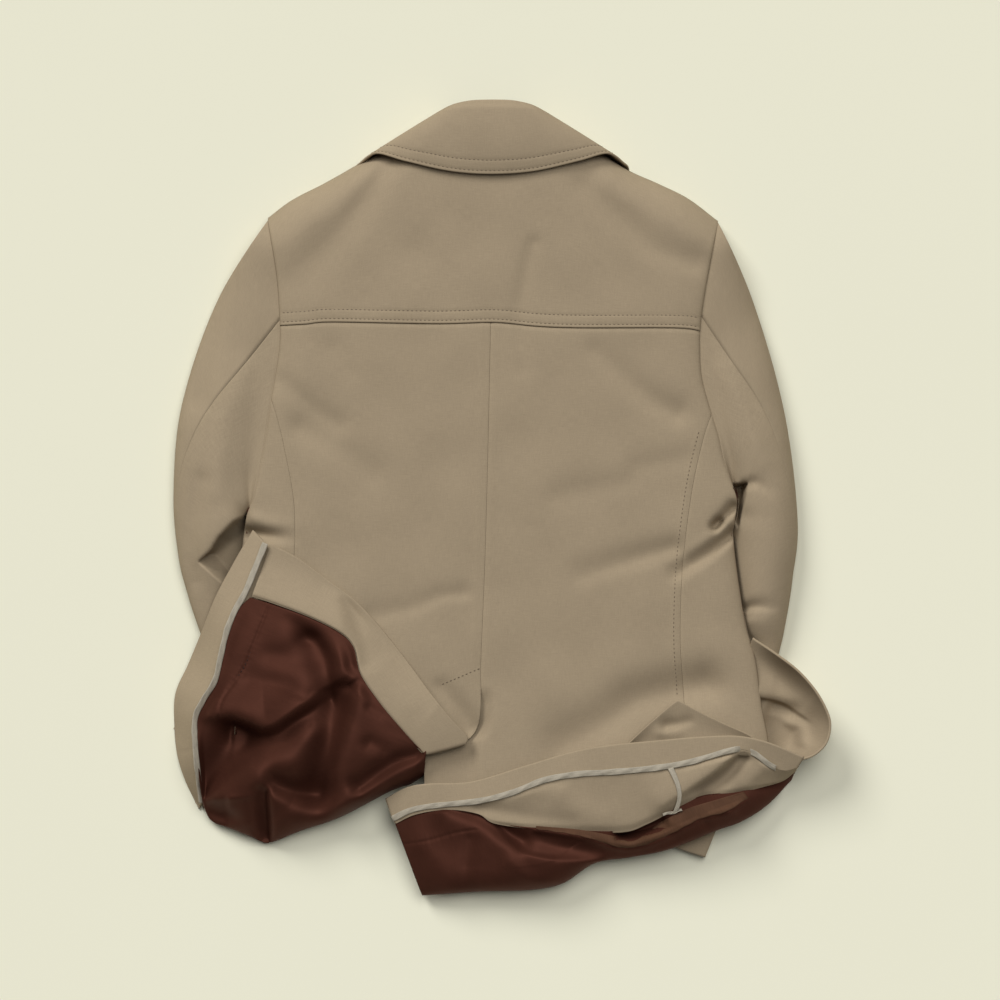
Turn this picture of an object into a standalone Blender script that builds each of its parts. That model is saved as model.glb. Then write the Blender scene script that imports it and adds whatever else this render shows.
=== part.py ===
"""A car coat lying face down on a surface: back uppermost, both halves of the skirt turned up at the vent.

The origin is on the surface, under the middle of the coat. X runs to the right, Y towards the collar, Z up.
The tables hold millimetres. Each row is one section of a seam or an edge.
"""

import math

import bmesh
import bpy
import numpy as np
from mathutils import Vector

OBJECT = "car_coat"
MM = 0.001
# The point of the tables that lies over the origin, which is under the middle of the finished coat.
MIDDLE = (0.22, 2.0, 0.0)

# Cloth walls and the gaps left between them.
SHELL_WALL = 2.0
COLLAR_WALL = 2.6
LINING_WALL = 1.0
TAPE_WALL = 1.0
SEAM_GAP = 0.3
ROLL_GAP = 2.4
LAYER_GAP = 0.6
ARMHOLE_GAP = 2.1

# How the coat lies: heights above the surface and the radii its edges are rolled to.
SHOULDER_EDGE = 10.0
SHOULDER_ROLL = 36.0
SIDE_ROLL = 34.0
ARMHOLE_EDGE = 36.0
SIDE_EDGE = 25.0
CROWN = 5.0
HALF_BACK = 235.0
FRONT_CURL = 14.0
SLEEVE_UNDER_BODY = 12.0
FRONT_OVER_SLEEVE = 15.0
FRONT_OVER_COLLAR = 5.4
FRONT_LAP = 2.8
VENT_LAP = 5.0
LINING_ROLL = 30.0
FLAP_FLOOR = 4.0
FACING_GAP = 1.2
FACING_LIFT = 9.0
TAPE_WIDTH = 8.5
COLLAR_MIDDLE = -8.0

# Height of the flat of the back: y, height.
BACK_TOP = ((380, 39), (300, 41), (200, 42), (100, 42), (0, 40), (-100, 37), (-200, 34), (-300, 31), (-400, 28))

# Plan of the back: y, left edge, left seam, centre seam, right seam, right edge.
BODY_PLAN = (
    (178, -220.0, -220.0, -9.0, 200.0, 200.0),
    (130, -223.0, -223.0, -10.0, 200.5, 200.5),
    (88, -230.0, -228.0, -11.0, 208.0, 210.0),
    (50, -236.0, -214.0, -12.0, 200.0, 220.0),
    (10, -244.0, -206.5, -13.0, 192.0, 233.0),
    (-15, -253.0, -206.0, -14.0, 188.0, 235.0),
    (-45, -258.0, -205.5, -15.0, 185.0, 234.5),
    (-75, -260.0, -206.0, -15.5, 182.0, 238.0),
    (-110, -262.0, -207.0, -16.0, 181.0, 244.0),
    (-145, -264.0, -208.0, -17.0, 180.0, 252.0),
    (-180, -266.0, -209.0, -18.5, 182.0, 260.0),
    (-212, -267.0, -210.0, -20.0, 184.0, 265.0),
    (-245, -268.0, -211.0, -24.0, 186.0, 269.0),
    (-305, -270.0, -212.0, -70.0, 188.0, 272.0),
)
YOKE_SEAM = ((-222, 176), (-64, 176.5), (39, 173.5), (202, 169))
YOKE_TOP = ((-232, 283), (-146, 334), (-90, 365), (-45, 354), (-8, 349), (29, 354), (74, 365), (131, 334), (218, 281))
SHOULDER_LEFT = ((-232, 283), (-90, 365))
SHOULDER_RIGHT = ((218, 281), (74, 365))
ARMHOLE_LEFT = ((-233, 281), (-224, 230), (-220.5, 160), (-224, 128), (-230, 92), (-236, 50), (-244, 10), (-254, -16))
ARMHOLE_RIGHT = ((219, 279), (209, 230), (201, 181), (200, 147), (202, 121), (210, 88), (220, 50), (237, -2))
LEFT_BACK_FOOT = ((-212, -240), (-130, -256), (-72, -255), (-45, -245), (-20, -233))
UNDERLAP_EDGE = ((-212, -20.5), (-245, -62), (-305, -70))

# Sleeves, a row for each ring: outer x, outer y, inner x, inner y, puff, tuck (share left clear of the body),
# seam (share of the width at which the elbow seam lies), armhole (how far the ring follows the armhole).
SLEEVE_LEFT = (
    (-234, 282, -257, -14, 20, 1.00, 0.34, 1.0),
    (-285, 200, -258, -18, 26, 1.00, 0.28, 0.6),
    (-320, 95, -259, -24, 27, 1.00, 0.16, 0.2),
    (-328, 5, -240, -48, 26, 0.62, 0.02, 0.0),
    (-323, -57, -216, -82, 18, 0.42, 0.01, 0.0),
    (-314, -94, -203, -107, 12, 0.32, 0.01, 0.0),
    (-303, -128, -190, -132, 7, 0.22, 0.01, 0.0),
    (-272, -215, -155, -205, 0, 0.30, 0.01, 0.0),
    (-236, -312, -122, -272, 0, 0.30, 0.01, 0.0),
)
SLEEVE_RIGHT = (
    (220, 280, 239, -3, 20, 1.00, 0.34, 1.0),
    (255, 200, 240, -8, 26, 1.00, 0.28, 0.6),
    (286, 88, 240, -14, 27, 1.00, 0.16, 0.2),
    (299, -20, 222, -58, 27, 0.62, 0.02, 0.0),
    (294, -78, 206, -110, 20, 0.40, 0.01, 0.0),
    (288, -118, 192, -145, 13, 0.26, 0.01, 0.0),
    (279, -158, 176, -180, 5, 0.14, 0.01, 0.0),
    (252, -245, 138, -260, 0, 0.16, 0.01, 0.0),
    (206, -359, 76, -316, 0, 0.16, 0.01, 0.0),
)

# Fronts, under the coat: outer x, outer y, inner x, inner y for the left one, from shoulder to foot.
FRONT_LEFT = (
    (-232, 283, -90, 365),
    (-231.5, 280.5, -88, 362),
    (-230, 276, -84, 355),
    (-227, 266, -78, 342),
    (-221, 195, -45, 280),
    (-220, 150, -15, 210),
    (-228, 90, 22, 140),
    (-242, 20, 32, 60),
    (-253, -15, 32, 0),
    (-258, -45, 32, -50),
    (-261, -95, 32, -110),
    (-265, -165, 32, -180),
    (-268, -235, 32, -240),
)
FRONT_RIGHT = (
    (218, 281, 74, 365),
    (217.5, 278.5, 72, 362),
    (216, 274, 68, 355),
    (213, 264, 62, 342),
    (202, 195, 40, 280),
    (200, 150, 42, 210),
    (209, 90, -10, 140),
    (230, 20, -47, 60),
    (236, -12, -47, 0),
    (234.5, -45, -47, -50),
    (242, -95, -47, -110),
    (257, -165, -47, -180),
    (268, -235, -47, -240),
)

# Collar, left half from the front end to the middle of the back: roll x, y, z, then outer edge x, y, z.
COLLAR = (
    (-48, 322, 0.4, -122, 238, 0.0),
    (-52, 350, 0.5, -150, 270, 0.0),
    (-56, 374, 0.8, -151, 303, 0.4),
    (-59, 388, 4.0, -153, 329, 2.5),
    (-61, 393, 14.0, -153, 338, 10.0),
    (-60, 394, 28.0, -149, 341, 20.0),
    (-55, 396, 40.0, -128, 350.5, 37.0),
    (-46, 398, 46.5, -95, 341, 47.5),
    (-30, 400.5, 49.0, -50, 329.5, 49.5),
    (-8, 401, 50.0, -8, 325, 50.5),
)
# Stand of the collar, left half: neck x, y, then roll x, y, z.
STAND = (
    (-70, 361.0, -48, 388, 38.0),
    (-58, 358.1, -43, 392, 42.0),
    (-36, 353.8, -29, 396, 45.0),
    (-8, 349.9, -8, 397, 46.5),
)

# The left skirt, thrown up and out: the crown it is heaped to and the curves its pieces run between.
FLAP_TOP = 57.0
FLAP_MIDDLE = (-170.0, -190.0)
FLAP_FALL_LEFT = 0.0009
FLAP_FALL_RIGHT = 0.0005
FLAP_FALL_ALONG = 0.0005
FLAP_DROOP = 0.2
FLAP_DROOP_BELOW = -240.0
VENT_EDGE_LEFT = (
    (-228, -48), (-200, -60), (-170, -80), (-138, -105), (-100, -150), (-70, -190), (-45, -220),
    (-27, -237),
)
FACING_LINE_LEFT = (
    (-247, -95), (-225, -102), (-190, -115), (-160, -130), (-145, -145), (-138, -172), (-120, -200), (-100, -225),
    (-74, -255),
)
HEM_EDGE_LEFT = (
    (-248, -37), (-265, -60), (-285, -95), (-300, -130), (-315, -165), (-328, -195), (-329, -230), (-326, -257),
    (-317, -285), (-310, -302),
)
TAPE_LINE_LEFT = (
    (-234, -48), (-242, -65), (-254, -92), (-264, -110), (-272, -130), (-278, -155), (-284, -180), (-296, -200),
    (-304, -218), (-304, -245), (-302, -268),
)
LINING_SIDE_LEFT = (
    (-249, -97), (-264, -112), (-271, -132), (-277, -156), (-283, -181), (-295, -201), (-303, -219), (-303, -245),
    (-301, -275), (-298, -306),
)
LINING_FOOT_LEFT = (
    (-298, -306), (-290, -322), (-270, -330), (-250, -338), (-232, -344), (-200, -332), (-160, -318), (-110, -292),
    (-90, -285), (-76, -276),
)

# The right skirt, turned up: x, y, z along its hem, its tape, the top of its lining and its foot.
HEM_EDGE_RIGHT = (
    (-115, -299, 27), (-93, -287, 35), (-70, -283, 40), (-29, -281, 43), (25, -265, 47), (89, -247, 51),
    (169, -238, 54), (217, -235, 55), (242, -236, 55), (271, -243, 53), (303, -257, 47),
)
TAPE_LINE_RIGHT = (
    (-108, -319, 27), (-86, -309, 35), (-54, -303, 41), (-16, -298, 45), (41, -279, 49), (105, -271, 51.5),
    (169, -267, 53), (201, -257, 54), (233, -249, 54), (246, -249, 53), (264, -262, 48), (284, -272, 40),
)
LINING_TOP_RIGHT = (
    (-105, -324, 26.5), (-84, -314, 34.5), (-52, -309, 40), (-22, -313, 42), (-6, -322, 42), (29, -327, 41),
    (80, -330, 40), (124, -330, 40), (147, -322, 42), (169, -311, 44), (201, -296, 45), (233, -292, 43),
    (264, -286, 37), (292, -275, 28),
)
LINING_FOOT_RIGHT = (
    (-78, -397, 6), (-22, -393, 4), (32, -391, 4), (64, -384, 5), (95, -364, 11), (131, -358, 15), (169, -350, 15.5),
    (217, -331, 15.5), (242, -322, 14), (268, -306, 9), (293, -281, 8),
)
# The right side hem that stands out as a loop: x, y, z along its hem, and its foot beside the body.
LOOP_HEM = (
    (305, -257, 47), (315, -252, 46), (325, -242, 45), (329, -228, 43), (327, -214, 41), (316, -193, 38),
    (299, -173, 35), (280, -158, 33), (256, -141, 31),
)
LOOP_FLOOR = 5.0
LOOP_TURN = 9.0
LOOP_FOOT = (
    (283, -250, 22), (284, -243, 20), (284, -235, 18), (283, -225, 17), (281, -213, 17), (277, -196, 18),
    (271, -180, 20), (264, -165, 23), (255, -150, 27),
)
CORNER_EDGE = ((131, -241, 39.5), (150, -223, 39.5), (177, -202, 39), (199, -212, 39), (224, -224, 38.5), (246, -234, 38))
CORNER_FOOT = ((131, -247, 40), (150, -249, 41), (177, -249, 41), (199, -248, 41), (224, -246, 40), (246, -243, 39))

# The ribbon that ties the right lining to the shell, and the tab at its end.
TACK_X = 172.0
TACK_WIDTH = 5.5
TACK_BOW = 6.0
TAB_WIDTH = 19.0

# Cloths: red, green, blue, roughness.
SHELL_CLOTH = (0.332, 0.258, 0.175, 0.85)
LINING_CLOTH = (0.058, 0.021, 0.014, 0.42)
TAPE_CLOTH = (0.578, 0.515, 0.427, 0.6)


def smooth(points, shares):
    """Points at the given shares of the length of a smooth curve through the given points."""
    given = np.array(points, dtype=float)
    ends = np.vstack([2 * given[0] - given[1], given, 2 * given[-1] - given[-2]])
    steps = np.linspace(0.0, 1.0, 12, endpoint=False)[:, None]
    spans = []
    for k in range(len(given) - 1):
        a, b, c, d = ends[k:k + 4]
        spans.append(b + 0.5 * steps * (c - a + steps * (2 * a - 5 * b + 4 * c - d + steps * (3 * (b - c) + d - a))))
    fine = np.vstack(spans + [given[-1:]])
    run = np.concatenate([[0.0], np.cumsum(np.linalg.norm(np.diff(fine, axis=0), axis=1))])
    where = np.asarray(shares, dtype=float) * run[-1]
    return np.column_stack([np.interp(where, run, fine[:, k]) for k in range(fine.shape[1])])


def column(table, key, value):
    """The value column of a table at a key, the first column, read between rows."""
    rows = np.array(table, dtype=float)
    order = np.argsort(rows[:, 0])
    return float(np.interp(key, rows[order, 0], rows[order, value]))


def ease(share):
    """A soft step from nought to one."""
    share = min(max(share, 0.0), 1.0)
    return share * share * (3.0 - 2.0 * share)


def roll(distance, radius):
    """A quarter round: nought at an edge, one beyond the radius."""
    share = min(max(distance / radius, 0.0), 1.0)
    return math.sqrt(1.0 - (1.0 - share) ** 2)


def inside_line(x, y, line, side):
    """Distance of a point inside a straight edge, side being 1 for a left edge and -1 for a right one."""
    (ax, ay), (bx, by) = line
    length = math.hypot(bx - ax, by - ay)
    return side * ((bx - ax) * (ay - y) - (by - ay) * (ax - x)) / length


def shoulder_distance(x, y):
    return min(inside_line(x, y, SHOULDER_LEFT, 1), inside_line(x, y, SHOULDER_RIGHT, -1))


def back_flat(x, y):
    """Height of the back away from its rolled edges."""
    return column(BACK_TOP, y, 1) + CROWN * (1.0 - min(abs(x) / HALF_BACK, 1.0) ** 2)


def side_edge(y):
    """Height of the side edge: held up by the sleeve head above, lying over the forearm below."""
    return SIDE_EDGE + (ARMHOLE_EDGE - SIDE_EDGE) * ease((y + 35.0) / 45.0)


def back_height(x, y):
    """Height of the outer face of the back."""
    low = min(max(y, -305.0), 178.0)
    left = roll(x - column(BODY_PLAN, low, 1), SIDE_ROLL)
    right = roll(column(BODY_PLAN, low, 5) - x, SIDE_ROLL)
    edge = side_edge(y)
    laid = edge + (back_flat(x, y) - edge) * left * right
    return SHOULDER_EDGE + (laid - SHOULDER_EDGE) * roll(shoulder_distance(x, y), SHOULDER_ROLL)


def under_sleeves(x, y):
    """Height the fronts are lifted to by the sleeves that lie under them."""
    left = np.interp(-y, [14, 48, 82, 132, 205, 272], [-257, -240, -216, -190, -155, -122])
    right = np.interp(-y, [3, 14, 58, 110, 180, 260, 316], [239, 240, 222, 206, 176, 138, 76])
    lift = max(ease((left + 30.0 - x) / 22.0) * ease((-2.0 - y) / 18.0),
               ease((x - right + 30.0) / 22.0) * ease((4.0 - y) / 20.0))
    collar = ease((y - 208.0) / 24.0) * ease((178.0 - abs(x - COLLAR_MIDDLE)) / 20.0)
    return FRONT_OVER_SLEEVE * lift + FRONT_OVER_COLLAR * collar


def flap_height(x, y):
    """Height of the left skirt where it is thrown over the back and sleeve."""
    across = x - FLAP_MIDDLE[0]
    fall = FLAP_FALL_LEFT if across < 0 else FLAP_FALL_RIGHT
    droop = FLAP_DROOP * max(FLAP_DROOP_BELOW - y, 0.0)
    return FLAP_TOP - fall * across ** 2 - FLAP_FALL_ALONG * (y - FLAP_MIDDLE[1]) ** 2 - droop


def cloth(name, values):
    """A material for one piece."""
    red, green, blue, roughness = values
    made = bpy.data.materials.new(name)
    made.use_nodes = True
    shader = made.node_tree.nodes["Principled BSDF"]
    shader.inputs["Base Color"].default_value = (red, green, blue, 1.0)
    shader.inputs["Roughness"].default_value = roughness
    shader.inputs["Metallic"].default_value = 0.0
    made.diffuse_color = (red, green, blue, 1.0)
    return made


def add_piece(name, shape, values):
    mesh = bpy.data.meshes.new(name)
    shape.to_mesh(mesh)
    shape.free()
    piece = bpy.data.objects.new(name, mesh)
    mesh.materials.append(cloth(name + "_cloth", values))
    bpy.data.collections[OBJECT].objects.link(piece)
    return piece


def bent_grid(place, across, along, flip):
    """A grid with each corner put at place(u, v), for the shares u across and v along."""
    columns = len(across) - 1
    rows = len(along) - 1
    shape = bmesh.new()
    bmesh.ops.create_grid(shape, x_segments=columns, y_segments=rows, size=0.5)
    for corner in shape.verts:
        u = across[round((corner.co.x + 0.5) * columns)]
        v = along[round((corner.co.y + 0.5) * rows)]
        corner.co = (Vector(place(u, v)) - Vector(MIDDLE)) * MM
    if flip:
        bmesh.ops.reverse_faces(shape, faces=shape.faces[:])
    shape.normal_update()
    return shape


def sheet(name, place, across, along, wall, values, flip=False):
    """A wall of cloth: its outer face bent to place(u, v) and thickened inwards."""
    piece = add_piece(name, bent_grid(place, across, along, flip), values)
    thicken = piece.modifiers.new("wall", "SOLIDIFY")
    thicken.thickness = wall * MM
    thicken.offset = -1.0
    return piece


def layers(name, top, bottom, across, along, values, flip=False):
    """One rounded solid for layers that cannot be seen, between two faces of the same plan."""
    shape = bent_grid(bottom, across, along, not flip)
    lower = list(shape.verts)
    upper = bent_grid(top, across, along, flip)
    places = [corner.co.copy() for corner in upper.verts]
    upper.free()
    grown = bmesh.ops.extrude_face_region(shape, geom=shape.faces[:], use_keep_orig=True)
    raised = [item for item in grown["geom"] if isinstance(item, bmesh.types.BMVert)]
    key = {tuple(round(c, 7) for c in corner.co): k for k, corner in enumerate(lower)}
    for corner in raised:
        corner.co = places[key[tuple(round(c, 7) for c in corner.co)]]
    bmesh.ops.recalc_face_normals(shape, faces=shape.faces[:])
    return add_piece(name, shape, values)


def ruled(first, second, shift=0.0):
    """A place function that runs straight from one curve to another, moved up by shift."""
    def place(u, v):
        a = smooth(first, [v])[0]
        b = smooth(second, [v])[0]
        x, y, z = a + (b - a) * u
        return x, y, z + shift
    return place


def evenly(count, start=0.0, end=1.0):
    return [float(share) for share in np.linspace(start, end, count + 1)]


def body_panel(name, left, right, rows, head, foot, drop=0.0):
    """A back or side panel between two columns of the body plan, its rows at shared heights of the coat."""
    def place(u, v):
        y = rows[int(v)]
        edge_left = column(BODY_PLAN, y, left) + SEAM_GAP / 2
        edge_right = column(BODY_PLAN, y, right) - SEAM_GAP / 2
        if name == "back_right" and y <= UNDERLAP_EDGE[0][0]:
            edge_left = column(UNDERLAP_EDGE, y, 1)
        if name == "back_left" and y <= UNDERLAP_EDGE[0][0]:
            edge_right = -21.5
        x = edge_left + (edge_right - edge_left) * u
        if head and v == 0:
            y = column(head, x, 1) - 2 * SEAM_GAP
        if foot and v == len(rows) - 1:
            y = column(foot, x, 1)
        lowered = drop * ease((column(BODY_PLAN, max(y, -245.0), 3) + 16.0 - x) / 12.0) * ease((-192.0 - y) / 12.0)
        return x, y, back_height(x, y) - lowered
    across = {"back_left": evenly(6), "back_right": [0.0, 0.06, 0.2, 0.26, 0.45, 0.65, 0.85, 1.0]}
    shares = across.get(name)
    if name == "side_left":
        shares = [0.0, 0.04, 0.14, 0.32, 0.62, 1.0]
    if name == "side_right":
        shares = [0.0, 0.38, 0.68, 0.86, 0.96, 1.0]
    return sheet(name, place, shares, [float(k) for k in range(len(rows))], SHELL_WALL, SHELL_CLOTH, flip=True)


def back_panels():
    levels = [row[0] for row in BODY_PLAN]
    body_panel("back_left", 2, 3, levels[:13], YOKE_SEAM, LEFT_BACK_FOOT)
    body_panel("back_right", 3, 4, levels, YOKE_SEAM, None, VENT_LAP)
    body_panel("side_left", 1, 2, [84.0] + levels[3:13], None, None)
    body_panel("side_right", 4, 5, [84.0] + levels[3:13], None, None)


def yoke():
    across = [0.0, 0.02, 0.06, 0.14, 0.23, 0.3156, 0.4, 0.4978, 0.6, 0.68, 0.77, 0.86, 0.94, 0.98, 1.0]
    along = [0.0, 0.4, 0.7, 0.87, 0.94, 0.98, 1.0]

    def place(u, v):
        low_x = YOKE_SEAM[0][0] + 2.0 + u * (YOKE_SEAM[-1][0] - YOKE_SEAM[0][0] - 4.0)
        top_x = YOKE_TOP[0][0] + u * (YOKE_TOP[-1][0] - YOKE_TOP[0][0])
        low_y = column(YOKE_SEAM, low_x, 1)
        top_y = column(YOKE_TOP, top_x, 1)
        x = low_x + (top_x - low_x) * v
        y = low_y + (top_y - low_y) * v
        return x, y, back_height(x, y) + ROLL_GAP / 2 * (v == 1.0 and shoulder_distance(x, y) < 4.0)
    sheet("back_yoke", place, across, along, SHELL_WALL, SHELL_CLOTH)


def front(name, table, side, lap):
    """A front panel: flat on the surface, lifted over the sleeve, curled up to meet the back at its edges."""
    shares = [0.0, 0.01, 0.03, 0.065, 0.14, 0.25, 0.42, 0.62, 0.8, 1.0]
    count = len(table) - 1

    def place(u, v):
        row = table[int(v)]
        x = row[0] + (row[2] - row[0]) * u
        y = row[1] + (row[3] - row[1]) * u
        flat = under_sleeves(x, y) + lap * ease((92.0 - x) / 34.0)
        outer = table[0][0] if y > 178 else column(BODY_PLAN, max(y, -305.0), 1 if side > 0 else 5)
        reach = shoulder_distance(x, y)
        edge = SHOULDER_EDGE
        below = ease((-4.0 - y) / 30.0)
        if y < 60:
            reach = side * (x - outer)
            edge = flat + (side_edge(y) - flat) * below
        curl = 1.0 - roll(reach, FRONT_CURL)
        z = flat + (edge - ROLL_GAP / 2 - 0.8 * below - flat) * curl if edge > flat + ROLL_GAP else flat
        return x + side * 0.8 * (u == 0.0) * (60 < y), y, z
    sheet(name, place, shares, [float(k) for k in range(count + 1)], SHELL_WALL, SHELL_CLOTH, flip=side < 0)


def sleeve(name, table, armhole, side):
    """A two-piece sleeve: rings from the armhole to the cuff, flat underneath, tucked under the body below."""
    stations = np.array(table, dtype=float)
    count = len(stations) - 1
    straight = stations[0]

    def ring(row, turn):
        share = (1.0 - math.cos(turn)) / 2
        outer = np.array([row[0], row[1]])
        inner = np.array([row[2], row[3]])
        flat = outer + (inner - outer) * share
        hole = smooth(armhole, [share])[0] - (straight[0:2] + (straight[2:4] - straight[0:2]) * share)
        x, y = flat + (hole + np.array([-side * ARMHOLE_GAP, 0.0])) * row[7]
        half = SLEEVE_UNDER_BODY / 2
        round_off = abs(math.sin(turn))
        if turn < 0:
            return x, y, half * (1.0 - round_off ** 0.4)
        puffed = row[4] * math.sin(math.pi * min(share / row[5], 1.0)) ** 0.6 if share < row[5] else 0.0
        z = half * (1.0 + round_off ** 0.5) + puffed
        if row[7] == 1.0:
            z = half + (min(back_height(x + side * ARMHOLE_GAP, y), ARMHOLE_EDGE) - half) * min(round_off * 2.0, 1.0)
        return x, y, z

    def seam_turn(row):
        return math.acos(1.0 - 2.0 * row[6])

    def under(u, v):
        row = stations[int(v)]
        start = seam_turn(row) + (0.012 if row[6] > 0.05 else 0.1)
        x, y, z = ring(row, start + (math.pi - start) * u)
        return x, y, z + ROLL_GAP / 2 * (u == 1.0)

    def upper(u, v):
        row = stations[int(v)]
        start = seam_turn(row) - (0.012 if row[6] > 0.05 else 0.1)
        turn = start * (1.0 - u / 0.3) if u < 0.3 else -math.pi * (u - 0.3) / 0.7
        x, y, z = ring(row, turn)
        return x, y, z - ROLL_GAP / 2 * (u == 1.0)

    along = [float(k) for k in range(count + 1)]
    sheet(name + "_under", under, evenly(7, 0.0, 0.7) + [0.85, 0.95, 1.0], along, SHELL_WALL, SHELL_CLOTH, flip=side > 0)
    sheet(name + "_upper", upper, [0.0, 0.15, 0.3, 0.37, 0.45, 0.6, 0.75, 0.88, 0.96, 1.0], along, SHELL_WALL,
          SHELL_CLOTH, flip=side < 0)


def whole(half):
    """Both halves of a collar table, the right one mirrored about the middle of the neck."""
    rows = [list(row) for row in half]
    for row in reversed(half[:-1]):
        rows.append([2 * COLLAR_MIDDLE - row[0], row[1], row[2], 2 * COLLAR_MIDDLE - row[3], row[4], row[5]])
    return np.array(rows, dtype=float)


def collar():
    fall = whole(COLLAR)
    stand = whole([(a, b, back_height(a, b - 0.5), c, d, e) for a, b, c, d, e in STAND])

    def fall_place(u, v):
        row = fall[int(u)]
        x, y, z = row[0:3] + (row[3:6] - row[0:3]) * v
        back = ease((row[2] - 10.0) / 30.0)
        return x, y, z + back * 4.0 * math.sin(math.pi * v) - back * 3.0 * (v == 0.0)

    def stand_place(u, v):
        row = stand[int(u)]
        x, y, z = row[0:3] + (row[3:6] - row[0:3]) * v
        return x, y, z

    sheet("collar_fall", fall_place, [float(k) for k in range(len(fall))], [0.0, 0.08, 0.3, 0.65, 1.0], COLLAR_WALL,
          SHELL_CLOTH, flip=True)
    sheet("collar_stand", stand_place, [float(k) for k in range(len(stand))], evenly(2), SHELL_WALL, SHELL_CLOTH)


def on_flap(first, second, inset_first, inset_second, lift=0.0):
    """A place function for a strip of the left skirt between two of its curves."""
    def place(u, v):
        a = smooth(first, [v])[0]
        b = smooth(second, [v])[0]
        step = (b - a) / max(np.linalg.norm(b - a), 1e-6)
        a = a + step * inset_first
        b = b - step * inset_second
        x, y = a + (b - a) * u
        return x, y, flap_height(x, y) + lift
    return place


def left_skirt():
    along = evenly(11)

    def vent(u, v):
        x, y, z = on_flap(VENT_EDGE_LEFT, FACING_LINE_LEFT, 0.0, SEAM_GAP)(u, v)
        laid = back_height(x, y) + SHELL_WALL + FACING_GAP + FACING_LIFT * ease((v - 0.55) / 0.35)
        z = min(laid, z) + max(z - laid, 0.0) * ease(u)
        turned = 1.0 - roll((1.0 - v) * 290.0, 14.0)
        return x, y, z - turned * (z - back_height(x, y) - 3.2)
    sheet("vent_facing_left", vent, evenly(4), evenly(11)[:-1] + [0.97, 1.0], SHELL_WALL, SHELL_CLOTH)

    tape_near = smooth(TAPE_LINE_LEFT, evenly(16))
    hem_near = smooth(HEM_EDGE_LEFT, evenly(16))
    sheet("hem_facing_left", on_flap(hem_near, tape_near, 0.0, 4.5), evenly(2), along, SHELL_WALL, SHELL_CLOTH, flip=True)

    def tape(u, v):
        a = smooth(TAPE_LINE_LEFT, [v])[0]
        b = smooth(TAPE_LINE_LEFT, [min(v + 0.02, 1.0)])[0] - smooth(TAPE_LINE_LEFT, [max(v - 0.02, 0.0)])[0]
        side = np.array([-b[1], b[0]]) / np.linalg.norm(b)
        x, y = a - side * TAPE_WIDTH * (0.5 - u)
        return x, y, flap_height(x, y) + TAPE_WALL + LAYER_GAP
    sheet("hem_tape_left", tape, evenly(1), along, TAPE_WALL, TAPE_CLOTH, flip=True)


def lining_left_place(inset):
    """The lining of the left skirt: from the facing and tape lines over the heap and down to the surface."""
    head = smooth(FACING_LINE_LEFT, evenly(24))
    foot = smooth(LINING_FOOT_LEFT, evenly(24))
    side = smooth(LINING_SIDE_LEFT, evenly(24))

    def place(u, v):
        top = smooth(head, [u])[0]
        low = smooth(foot, [u])[0]
        left = smooth(side, [v])[0]
        straight_left = head[0] + (foot[0] - head[0]) * v
        x, y = top + (low - top) * v + (left - straight_left) * (1.0 - u)
        reach = (1.0 - v) * np.linalg.norm(low - top)
        z = FLAP_FLOOR + (flap_height(x, y) - FLAP_FLOOR) * roll(reach, LINING_ROLL)
        return x, y, z - inset
    return place


def left_lining():
    place = lining_left_place(0.0)
    along = [0.012, 0.15, 0.32, 0.5, 0.66, 0.8, 0.9, 0.96, 0.99, 1.0]
    sheet("lining_left", place, evenly(11, 0.03, 0.98), along, LINING_WALL, LINING_CLOTH, flip=True)
    below = lining_left_place(LINING_WALL + LAYER_GAP)

    def bottom(u, v):
        x, y, z = below(u, v)
        return x, y, min(back_flat(x, y) + LAYER_GAP, z - 0.8)
    layers("skirt_layers_left", below, bottom, evenly(9, 0.14, 0.8), along[1:5], SHELL_CLOTH, flip=True)


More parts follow.
